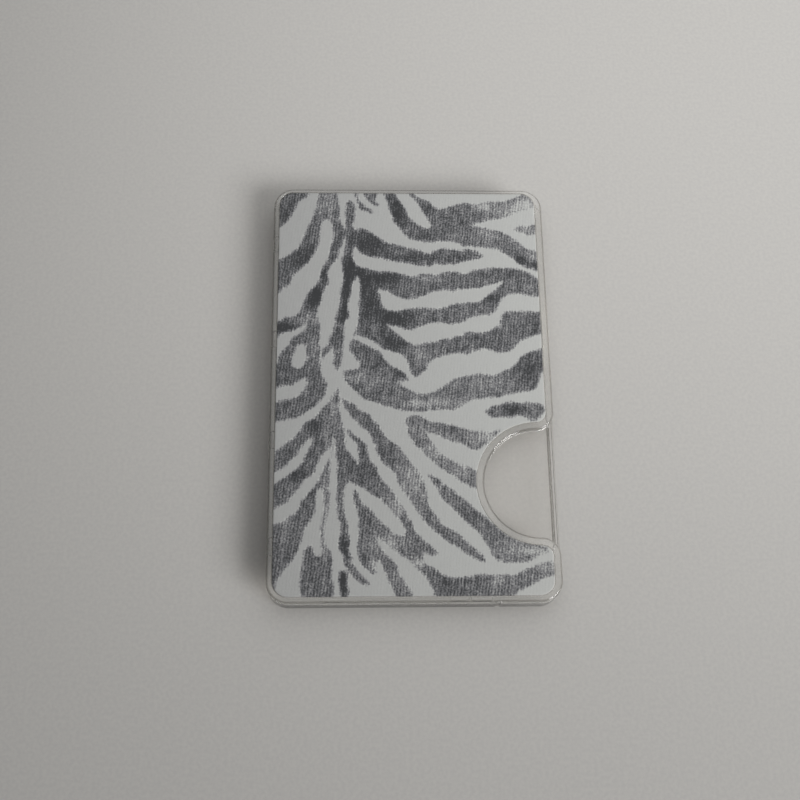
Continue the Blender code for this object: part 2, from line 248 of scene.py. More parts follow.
@dataclass(frozen=True)
class CaseForm:
    """Sizes that both shells and the sheet share."""

    half_width: float = 28.4 * MM
    half_length: float = 44.15 * MM
    thickness: float = 5.3 * MM
    corner: float = 4.3 * MM
    foot_round: float = 0.1 * MM
    seam_round: float = 0.08 * MM
    crown_round: float = 0.6 * MM
    round_steps: int = 6
    floor: float = 2.0 * MM
    seam: float = 3.2 * MM
    seam_gap: float = 0.01 * MM
    cavity_top: float = 4.0 * MM
    wall_side: float = 1.2 * MM
    wall_end: float = 1.3 * MM
    cavity_corner: float = 3.0 * MM
    cavity_steps: int = 20
    mouth_relief: float = 4.4 * MM
    notch: Point = (24.9 * MM, -20.7 * MM)
    notch_radius: float = 10.9 * MM
    notch_mouth: float = 3.7 * MM
    gate_x: float = 16.0 * MM
    gate_width: float = 0.8 * MM
    gate_depth: float = 0.2 * MM
    rim_left: float = 1.2 * MM
    rim_right: float = 1.6 * MM
    rim_bottom: float = 1.3 * MM
    rim_top: float = 1.0 * MM
    rim_notch: float = 1.65 * MM
    sheet_corner: float = 3.0 * MM
    sheet_clearance: float = 0.08 * MM

    def border(self, notched: bool) -> Border:
        """Gives the outer border of a shell, with or without the thumb notch."""
        sides = (-self.half_width, self.half_width, -self.half_length, self.half_length, self.corner)
        return Border(*sides, self.notch, self.notch_radius, self.notch_mouth) if notched else Border(*sides)

    def sheet_border(self, grow: float) -> Border:
        """Gives the printed sheet's border.

        Args:
            grow: how far out it is moved, for the recess that holds the sheet.

        Returns:
            The border, with the thumb notch.
        """
        return Border(
            left=-self.half_width + self.rim_left - grow,
            right=self.half_width - self.rim_right + grow,
            bottom=-self.half_length + self.rim_bottom - grow,
            top=self.half_length - self.rim_top + grow,
            corner=self.sheet_corner + grow,
            notch=self.notch,
            notch_radius=self.notch_radius + self.rim_notch - grow,
            mouth_radius=self.notch_mouth - self.rim_notch + grow,
        )

    def rounded_rings(self, border: Border, heights: Point, rounds: Point) -> list[Ring]:
        """Stacks outlines from a low edge to a high edge, with both edges rounded over.

        Args:
            border: the border of the shell.
            heights: heights of the lower and the upper face.
            rounds: radius of the lower and the upper edge.

        Returns:
            The outlines with their heights, from the bottom up.
        """
        below, above = (arc((0.0, 0.0), radius, 0, 90, self.round_steps) for radius in rounds)
        low, high = heights[0] + rounds[0], heights[1] - rounds[1]
        rings = [(border.outline(rounds[0] - x), low - y) for x, y in reversed(below)]
        rings += [(border.outline(rounds[1] - x), high + y) for x, y in above]
        return rings

    def cavity_outline(self) -> Outline:
        """Draws the card space, closed below and open past the top of the case.

        Returns:
            Points anticlockwise from the lower left.
        """
        left = -self.half_width + self.wall_side
        right = self.half_width - self.wall_side
        bottom = -self.half_length + self.wall_end
        top = self.half_length + CLEARANCE
        radius, steps = self.cavity_corner, self.cavity_steps
        points = arc((left + radius, bottom + radius), radius, 180, 270, steps)
        points += arc((right - radius, bottom + radius), radius, 270, 360, steps)
        return points + [(right, top), (left, top)]

    def relief_outline(self) -> Outline:
        """Draws the strip at the open end where the side walls stop short.

        Returns:
            Its four corners.
        """
        reach = self.half_width + CLEARANCE
        top = self.half_length + CLEARANCE
        return box_outline(-reach, reach, self.half_length - self.mouth_relief, top)

    def gate_outline(self) -> Outline:
        """Draws the small flat where the moulding gate was trimmed.

        Returns:
            Its four corners.
        """
        left = self.gate_x - self.gate_width / 2
        low = -self.half_length - CLEARANCE
        return box_outline(left, left + self.gate_width, low, self.gate_depth - self.half_length)


# Meshes


def object_from(name: str, corners: list[Corner], faces: list[Face]) -> Piece:
    """Makes a mesh object and turns its faces outwards.

    Args:
        name: the object's name.
        corners: the vertices.
        faces: the vertex numbers of each face.

    Returns:
        The new object, in the scene.
    """
    mesh = bpy.data.meshes.new(name)
    mesh.from_pydata(corners, [], faces)
    build = bmesh.new()
    build.from_mesh(mesh)
    bmesh.ops.recalc_face_normals(build, faces=build.faces)
    build.to_mesh(mesh)
    build.free()
    piece = bpy.data.objects.new(name, mesh)
    bpy.context.scene.collection.objects.link(piece)
    return piece


def walls(count: int, starts: Sequence[int]) -> list[Face]:
    """Joins each ring of points to the next one with four-sided faces.

    Args:
        count: how many points each ring has.
        starts: the number of each ring's first point, in order.

    Returns:
        The faces.
    """
    faces = []
    for low, high in zip(starts, starts[1:]):
        for index in range(count):
            follow = (index + 1) % count
            faces.append((low + index, low + follow, high + follow, high + index))
    return faces


def loft(name: str, rings: list[Ring]) -> Piece:
    """Makes a closed solid through a stack of outlines with equal numbers of points.

    Args:
        name: the object's name.
        rings: each outline with its height.

    Returns:
        The solid.
    """
    count = len(rings[0][0])
    corners = [(x, y, height) for outline, height in rings for x, y in outline]
    last = len(corners) - count
    ends = [tuple(reversed(range(count))), tuple(range(last, last + count))]
    return object_from(name, corners, ends + walls(count, range(0, len(corners), count)))


def slab(name: str, outline: Outline, low: float, high: float) -> Piece:
    """Makes a flat solid between two heights."""
    return loft(name, [(outline, low), (outline, high)])


def ring_slab(name: str, outer: Outline, inner: Outline, low: float, high: float) -> Piece:
    """Makes a flat ring between two heights from two outlines with equal numbers of points.

    Args:
        name: the object's name.
        outer: its outer edge.
        inner: its inner edge.
        low: height of the lower face.
        high: height of the upper face.

    Returns:
        The ring.
    """
    count = len(outer)
    loops = [(outer, low), (outer, high), (inner, high), (inner, low)]
    corners = [(x, y, height) for outline, height in loops for x, y in outline]
    return object_from(name, corners, walls(count, (0, count, 2 * count, 3 * count, 0)))


def bar(name: str, profile: Outline, start: float, end: float, along_x: bool) -> Piece:
    """Draws a side-view profile out along X or along Y.

    Args:
        name: the object's name.
        profile: points across and up.
        start: where the solid begins.
        end: where it ends.
        along_x: true for a solid along X, false for one along Y.

    Returns:
        The solid.
    """
    count = len(profile)
    ends = [(start, profile), (end, profile)]
    if along_x:
        corners = [(place, across, up) for place, points in ends for across, up in points]
    else:
        corners = [(across, place, up) for place, points in ends for across, up in points]
    flat_ends = [tuple(range(count)), tuple(reversed(range(count, 2 * count)))]
    return object_from(name, corners, flat_ends + walls(count, (0, count)))


class Join(Enum):
    """How tool solids change a shell."""

    CUT = "DIFFERENCE"
    ADD = "UNION"


def combine(piece: Piece, tools: list[Piece], join: Join) -> None:
    """Cuts tool solids out of a piece, or adds them to it, and removes the tools.

    Args:
        piece: the object that changes.
        tools: the solids that change it.
        join: whether they are cut away or added.
    """
    group = bpy.data.collections.new("tools")
    bpy.context.scene.collection.children.link(group)
    for tool in tools:
        bpy.context.scene.collection.objects.unlink(tool)
        group.objects.link(tool)
    modifier = piece.modifiers.new("combine", "BOOLEAN")
    modifier.operation = join.value
    modifier.solver = "EXACT"
    modifier.operand_type = "COLLECTION"
    modifier.collection = group
    bake_modifiers(piece)
    for tool in tools:
        bpy.data.objects.remove(tool, do_unlink=True)
    bpy.data.collections.remove(group)


def bake_modifiers(piece: Piece) -> None:
    """Makes the result of a piece's modifiers its own mesh.

    Args:
        piece: the object that the modifiers are on.
    """
    bpy.context.view_layer.update()
    result = piece.evaluated_get(bpy.context.evaluated_depsgraph_get())
    mesh = bpy.data.meshes.new_from_object(result)
    piece.modifiers.clear()
    piece.data = mesh


def smooth(piece: Piece, sharp_angle: float = 32.0) -> None:
    """Welds a piece, shades it smooth, keeps its real edges sharp and weights its normals by face.

    Args:
        piece: the object to finish.
        sharp_angle: least angle in degrees at which an edge stays sharp.
    """
    build = bmesh.new()
    build.from_mesh(piece.data)
    bmesh.ops.remove_doubles(build, verts=build.verts, dist=WELD_REACH)
    bmesh.ops.dissolve_degenerate(build, edges=build.edges, dist=SLIVER)
    limit = math.radians(sharp_angle)
    for edge in build.edges:
        edge.smooth = len(edge.link_faces) == 2 and edge.calc_face_angle() < limit
    for face in build.faces:
        face.smooth = True
    build.to_mesh(piece.data)
    build.free()
    weight = piece.modifiers.new("weight", "WEIGHTED_NORMAL")
    weight.keep_sharp = True
    weight.weight = 100
    bake_modifiers(piece)


def hand_over(piece: Piece, material: Material, node: str) -> None:
    """Gives a piece its material and its body, and hides the CAD node that it stands for.

    Args:
        piece: the finished object.
        material: what it is made of.
        node: the CAD node that it replaces.
    """
    piece.data.materials.clear()
    piece.data.materials.append(material)
    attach(piece, BODY)
    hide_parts(node)
    log.info("%s: %d faces, replaces %s", piece.name, len(piece.data.polygons), node)


# Finishes


@dataclass(frozen=True)
class ClearPolycarbonate:
    """Injection moulded, so it is glassy on its faces, duller on its walls and faintly milky in depth."""

    tint: str = "#FCFCFB"
    # The slope and wall tints are painted shade, not the plastic's own colour
    slope_shade_tint: str = "#B6B5B1"
    wall_shade_tint: str = "#F4F3EF"
    refraction: float = 1.54
    least_haze: float = 0.01
    most_haze: float = 0.03
    wall_haze: float = 0.13
    milkiness: float = 0.05
    haze_size: float = 1.5 * MM
    wave_size: float = 7.0 * MM
    wave_height: float = 0.0003 * MM
    edge_blend: float = 0.35
    open_shadow: str = "#F8F7F6"
    edge_shadow: str = "#E2E0DC"

    def material(self) -> Material:
        """Builds the clear plastic.

        Returns:
            The finished material.
        """
        material, add = new_material("polished_clear_polycarbonate")
        place = add("TexCoord", give="Object")
        # The mould is polished on its faces, and its upright walls keep the marks of the draw
        haze = add("TexNoise", {"Vector": place, "Scale": 1 / self.haze_size, "Detail": 3.0})
        haze = add("MapRange", (haze, 0.3, 0.7, self.least_haze, self.most_haze))
        facing_up = add("SeparateXYZ", (add("NewGeometry", give="Normal"),), "Z")
        level = add("Math", (facing_up,), operation="ABSOLUTE")
        upright = add("MapRange", (level, 0.2, 0.97, 1.0, 0.0))
        dullness = add("Math", (upright, self.wall_haze, haze), operation="MULTIPLY_ADD")
        wave = add("TexNoise", {"Vector": place, "Scale": 1 / self.wave_size, "Detail": 1.0})
        # Painted shade: the plastic's colour darkens on fillets and rounded edges, and a little on upright
        # walls, standing in for the light that they turn aside from what lies under them
        painted_slope_shade = ((0.25, self.wall_shade_tint), (0.6, self.slope_shade_tint), (0.9, self.slope_shade_tint), (0.995, self.tint))
        plastic = add(
            "BsdfPrincipled",
            {
                "Base Color": add("ValToRGB", (level,), stops=painted_slope_shade),
                "Roughness": dullness,
                "IOR": self.refraction,
                "Transmission Weight": 1.0 - self.milkiness,
                "Normal": add("Bump", {"Height": wave, "Distance": self.wave_height}),
            },
        )
        # Lamps reach what lies under the plastic, less so through its edges, which turn light aside
        facing = add("LayerWeight", {"Blend": self.edge_blend}, "Facing")
        passed = add("ValToRGB", (facing,), stops=((0.35, self.open_shadow), (0.95, self.edge_shadow)))
        rays = [add("LightPath", give=name) for name in ("Is Shadow Ray", "Is Diffuse Ray")]
        lit = add("Math", rays, operation="MAXIMUM")
        add("OutputMaterial", (add("MixShader", (lit, plastic, add("BsdfTransparent", (passed,)))),))
        return material


@dataclass(frozen=True)
class PrintedCloth:
    """Polyester cloth on card, woven white and dye printed, so the ink breaks up along its threads.

    The real threads lie under half a millimetre apart. They are drawn a little coarser, so that they show.
    """

    thread_pitch: float = 0.6 * MM
    dash_length: float = 0.62 * MM
    streak_length: float = 3.2 * MM
    thread_lean: float = 7.0
    sway_size: float = 2.2 * MM
    sway_reach: float = 0.9
    mottle_size: float = 1.3 * MM
    # Flecks for each thread, and what flecks, weave, streaks and mottle add to the grip on the ink
    fleck_scale: float = 1.7
    fleck_contrast: float = 2.6
    fleck_shift: float = -0.8
    thread_break: float = 0.6
    weave_share: float = 0.42
    fleck_share: float = 0.5
    streak_share: float = 0.7
    mottle_share: float = 0.6
    # Stripe edges, in millimetres
    edge_softness: float = 0.55
    ragged_scale: float = 0.9
    ragged_reach: float = 0.5
    wander_size: float = 1.6 * MM
    wander_reach: float = 0.4
    # Ink
    grip: float = 0.85
    mean_grip: float = 0.4
    ink_gain: float = 0.8
    full_cover: float = 0.5
    wash: float = 0.075
    # Slope of a painted shade that darkens the white towards the left
    painted_shade_slope: tuple[float, float, float] = (-2.7, 0.35, 0.0)
    thread_tint: float = 0.04
    whites: Stops = ((0.0, "#BBBCB9"), (0.25, "#929292"))
    greys: Stops = ((0.5, "#717173"), (0.75, "#505153"), (1.0, "#2F3032"))
    thread_height: float = 0.02 * MM
    roughness: float = 0.72

    def threads(self, add: AddNode, place: Socket) -> tuple[Socket, Socket]:
        """Draws upright threads, each broken into dashes that took the ink more or less well.

        Args:
            add: the function that adds nodes to the material.
            place: the place on the sheet.

        Returns:
            The place in thread units, and how well each point took the ink, from nought to one.
        """
        turn = (0.0, 0.0, -math.radians(self.thread_lean))
        unit = (self.thread_pitch, self.dash_length, MM)
        turned = add("Mapping", {"Vector": place, "Rotation": turn, "Scale": unit}, vector_type="TEXTURE")
        drawn_out = (1.0, self.dash_length / self.streak_length, 1.0)
        stretched = add("Mapping", {"Vector": turned, "Scale": drawn_out}, vector_type="POINT")
        sockets = {"across": add("SeparateXYZ", (turned,), "X")}
        for name, vector, scale, detail in (
            ("sway", place, 1 / self.sway_size, 2.0),
            ("fleck", turned, self.fleck_scale, 1.5),
            ("streak", stretched, 1.0, 1.0),
            ("mottle", place, 1 / self.mottle_size, 1.0),
        ):
            sockets[name] = add("TexNoise", {"Vector": vector, "Scale": scale, "Detail": detail})
        for name, operation, values in (
            ("bent", "MULTIPLY_ADD", ("sway", self.sway_reach, "across")),
            ("angle", "MULTIPLY", ("bent", math.tau)),
            ("wave", "SINE", ("angle",)),
            ("thread", "MULTIPLY_ADD", ("wave", 0.5, 0.5)),
            ("dot", "MULTIPLY_ADD", ("fleck", self.fleck_contrast, self.fleck_shift)),
            ("broken", "MULTIPLY_ADD", ("dot", self.thread_break, 1.0 - self.thread_break)),
            ("weave", "MULTIPLY", ("thread", "broken")),
            ("soft", "MULTIPLY", ("weave", self.weave_share)),
            ("dotted", "MULTIPLY_ADD", ("dot", self.fleck_share, "soft")),
            ("swing", "SUBTRACT", ("streak", 0.5)),
            ("drawn", "MULTIPLY_ADD", ("swing", self.streak_share, "dotted")),
            ("patch", "SUBTRACT", ("mottle", 0.5)),
            ("dash", "MULTIPLY_ADD", ("patch", self.mottle_share, "drawn")),
        ):
            inputs = [sockets.get(value, value) for value in values]
            sockets[name] = add("Math", inputs, operation=operation)
        return turned, sockets["dash"]

    def material(self) -> Material:
        """Builds the printed cloth from the edge distance and the ink depth held on the sheet.

        Returns:
            The finished material.
        """
        material, add = new_material("dye_printed_polyester_cloth")
        place = add("TexCoord", give="Object")
        turned, dash = self.threads(add, place)
        edge = add("Attribute", give="Fac", attribute_name=EDGE_ATTRIBUTE)
        depth = add("Attribute", give="Fac", attribute_name=INK_ATTRIBUTE)
        for vector, scale, reach in (
            (turned, self.ragged_scale, self.ragged_reach),
            (place, 1 / self.wander_size, self.wander_reach),
        ):
            noise = add("TexNoise", {"Vector": vector, "Scale": scale, "Detail": 2.0})
            shift = add("Math", (noise, reach, -reach / 2), operation="MULTIPLY_ADD")
            edge = add("Math", (edge, shift), operation="ADD")
        soft = self.edge_softness
        inked = add("MapRange", (edge, -soft, soft, 1.0, 0.0), interpolation_type="SMOOTHSTEP")
        cover = add("Math", (inked, depth), operation="MULTIPLY")
        # Ink shows where its depth and the thread's grip on it add up, so thin ink leaves single dots
        least = -self.mean_grip * self.grip - self.wash
        swing = add("Math", (dash, self.grip, least), operation="MULTIPLY_ADD")
        reached = add("Math", (cover, self.ink_gain, swing), operation="MULTIPLY_ADD")
        printed = add("MapRange", (cover, 0.0, self.full_cover), interpolation_type="SMOOTHSTEP")
        # The dye left a faint grey wash on the white, and painted shade darkens the white further towards
        # the left
        across = add("VectorMath", (place, self.painted_shade_slope), "Value", operation="DOT_PRODUCT")
        wash = add("Math", (across, self.wash), operation="ADD")
        faint = add("Math", (dash, self.thread_tint, wash), operation="MULTIPLY_ADD")
        shown = add("Math", (reached, printed, faint), operation="MULTIPLY_ADD")
        colour = add("ValToRGB", (shown,), stops=self.whites + self.greys)
        relief = add("Bump", {"Height": dash, "Distance": self.thread_height})
        cloth = add("BsdfPrincipled", {"Base Color": colour, "Roughness": self.roughness, "Normal": relief})
        add("OutputMaterial", (cloth,))
        return material


@dataclass(frozen=True)
class AdhesiveFilm:
    """Cast acrylic adhesive, pale and waxy, with the faint mottle of trapped air."""

    mottle: Stops = ((0.35, "#BDBDB6"), (0.65, "#D2D2CC"))
    mottle_size: float = 1.2 * MM
    mottle_height: float = 0.01 * MM
    roughness: float = 0.45
    refraction: float = 1.48

    def material(self) -> Material:
        """Builds the adhesive.

        Returns:
            The finished material.
        """
        material, add = new_material("cast_acrylic_adhesive")
        place = add("TexCoord", give="Object")
        mottle = add("TexNoise", {"Vector": place, "Scale": 1 / self.mottle_size, "Detail": 4.0})
        film = {
            "Base Color": add("ValToRGB", (mottle,), stops=self.mottle),
            "Roughness": self.roughness,
            "IOR": self.refraction,
            "Normal": add("Bump", {"Height": mottle, "Distance": self.mottle_height}),
        }
        add("OutputMaterial", (add("BsdfPrincipled", film),))
        return material


@dataclass(frozen=True)
class WhiteFilm:
    """Filled polyester film, matt coated, so it is flat white with a fine paper-like tooth."""

    whites: Stops = ((0.45, "#D3D3CE"), (0.95, "#E2E2DE"))
    tooth_size: float = 0.25 * MM
    tooth_share: float = 0.4
    tooth_height: float = 0.008 * MM
    cloud_size: float = 9.0 * MM
    roughness: float = 0.5
    refraction: float = 1.6

    def material(self) -> Material:
        """Builds the film that closes the magnet pockets.

        Returns:
            The finished material.
        """
        material, add = new_material("matt_white_polyester_film")
        place = add("TexCoord", give="Object")
        tooth = add("TexNoise", {"Vector": place, "Scale": 1 / self.tooth_size, "Detail": 2.0})
        cloud = add("TexNoise", {"Vector": place, "Scale": 1 / self.cloud_size, "Detail": 2.0})
        blend = add("Math", (tooth, self.tooth_share, cloud), operation="MULTIPLY_ADD")
        film = {
            "Base Color": add("ValToRGB", (blend,), stops=self.whites),
            "Roughness": self.roughness,
            "IOR": self.refraction,
            "Normal": add("Bump", {"Height": tooth, "Distance": self.tooth_height}),
        }
        add("OutputMaterial", (add("BsdfPrincipled", film),))
        return material


@dataclass(frozen=True)
class PlatedMetal:
    """Metal whose thin plating or rolling leaves fine lines, so its sheen is drawn out one way."""

    name: str
    light: str
    dark: str
    roughness: float
    line_width: float
    line_length: float
    sheen_swing: float = 0.08

    def material(self) -> Material:
        """Builds the metal.

        Returns:
            The finished material.
        """
        material, add = new_material(self.name)
        size = (self.line_width, self.line_length, self.line_width)
        place = add("TexCoord", give="Object")
        drawn = add("Mapping", {"Vector": place, "Scale": size}, vector_type="TEXTURE")
        lines = add("TexNoise", {"Vector": drawn, "Scale": 1.0, "Detail": 3.0})
        most, least = self.roughness + self.sheen_swing, self.roughness - self.sheen_swing
        metal = {
            "Base Color": add("ValToRGB", (lines,), stops=((0.3, self.dark), (0.7, self.light))),
            "Metallic": 1.0,
            "Roughness": add("MapRange", (lines, 0.0, 1.0, most, least)),
        }
        add("OutputMaterial", (add("BsdfPrincipled", metal),))
        return material


@dataclass(frozen=True)
class TableTop:
    """Sprayed matt board, near white, with a grain so fine that it only takes the flatness off."""

    shades: Stops = ((0.35, "#BAB8B5"), (0.65, "#C0BEBA"))
    grain_size: float = 0.7 * MM
    grain_height: float = 0.01 * MM
    roughness: float = 0.8
    gloss: float = 0.2
    fade_from: float = 0.2
    fade_to: float = 0.7

    def material(self) -> Material:
        """Builds the table, which turns into an even backdrop far from the case.

        Returns:
            The finished material.
        """
        material, add = new_material("matt_sprayed_board")
        place = add("TexCoord", give="Object")
        grain = add("TexNoise", {"Vector": place, "Scale": 1 / self.grain_size, "Detail": 3.0})
        board = {
            "Base Color": add("ValToRGB", (grain,), stops=self.shades),
            "Roughness": self.roughness,
            "Specular IOR Level": self.gloss,
            "Normal": add("Bump", {"Height": grain, "Distance": self.grain_height}),
        }
        reach = add("VectorMath", (place,), "Value", operation="LENGTH")
        far = add("MapRange", (reach, self.fade_from, self.fade_to), interpolation_type="SMOOTHSTEP")
        share = add("Math", (far, seen_directly(add)), operation="MULTIPLY")
        backdrop = add("Emission", (linear(BACKDROP),))
        add("OutputMaterial", (add("MixShader", (share, add("BsdfPrincipled", board), backdrop)),))
        return material


# Printed pattern

EDGE_ATTRIBUTE = "stripe_edge"
INK_ATTRIBUTE = "ink_depth"
PLACES_AT_ONCE = 2000
TINY = 1e-12


def read_numbers(text: str, width: int) -> np.ndarray:
    """Reads groups of comma-joined numbers, parted by spaces, as rows of the given width."""
    return np.array([float(n) for group in text.split() for n in group.split(",")]).reshape(-1, width)


def rounded_run(points: np.ndarray, steps: int) -> np.ndarray:
    """Draws a smooth closed line through a few points.

    Args:
        points: the points that the line passes through.
        steps: steps between each two of them.

    Returns:
        The points of the smooth line.
    """
    before, after, beyond = (np.roll(points, shift, axis=0) for shift in (1, -1, -2))
    runs = []
    for step in range(steps):
        t = step / steps
        run = 2 * points + (after - before) * t
        run += (2 * before - 5 * points + 4 * after - beyond) * t**2
        run += (3 * points - before - 3 * after + beyond) * t**3
        runs.append(run / 2)
    return np.stack(runs, axis=1).reshape(-1, 2)


def depth_inside(places: np.ndarray, outline: np.ndarray, reach: float) -> np.ndarray:
    """Finds how far places lie inside an outline, and less than nought for those outside it.

    Args:
        places: the points to test.
        outline: a closed line.
        reach: distance beyond which the answer isn't worked out.

    Returns:
        One signed distance for each place, no further out than the reach.
    """
    depth = np.full(len(places), -reach)
    low = outline.min(axis=0) - reach
    high = outline.max(axis=0) + reach
    near = np.flatnonzero(((places > low) & (places < high)).all(axis=1))
    along = np.roll(outline, -1, axis=0) - outline
    length = (along**2).sum(axis=1) + TINY
    for block in np.array_split(near, len(near) // PLACES_AT_ONCE + 1):
        gap = places[block, None, :] - outline[None]
        share = np.clip((gap * along).sum(axis=2) / length, 0, 1)
        distance = np.sqrt(((gap - share[..., None] * along) ** 2).sum(axis=2).min(axis=1))
        rises = (gap[..., 1] < 0) != (gap[..., 1] < along[:, 1])
        slope = along[:, 0] / np.where(along[:, 1] == 0, TINY, along[:, 1])
        crossed = rises & (gap[..., 0] < gap[..., 1] * slope)
        inside = crossed.sum(axis=1) % 2 == 1
        depth[block] = np.maximum(np.where(inside, distance, -distance), -reach)
    return depth


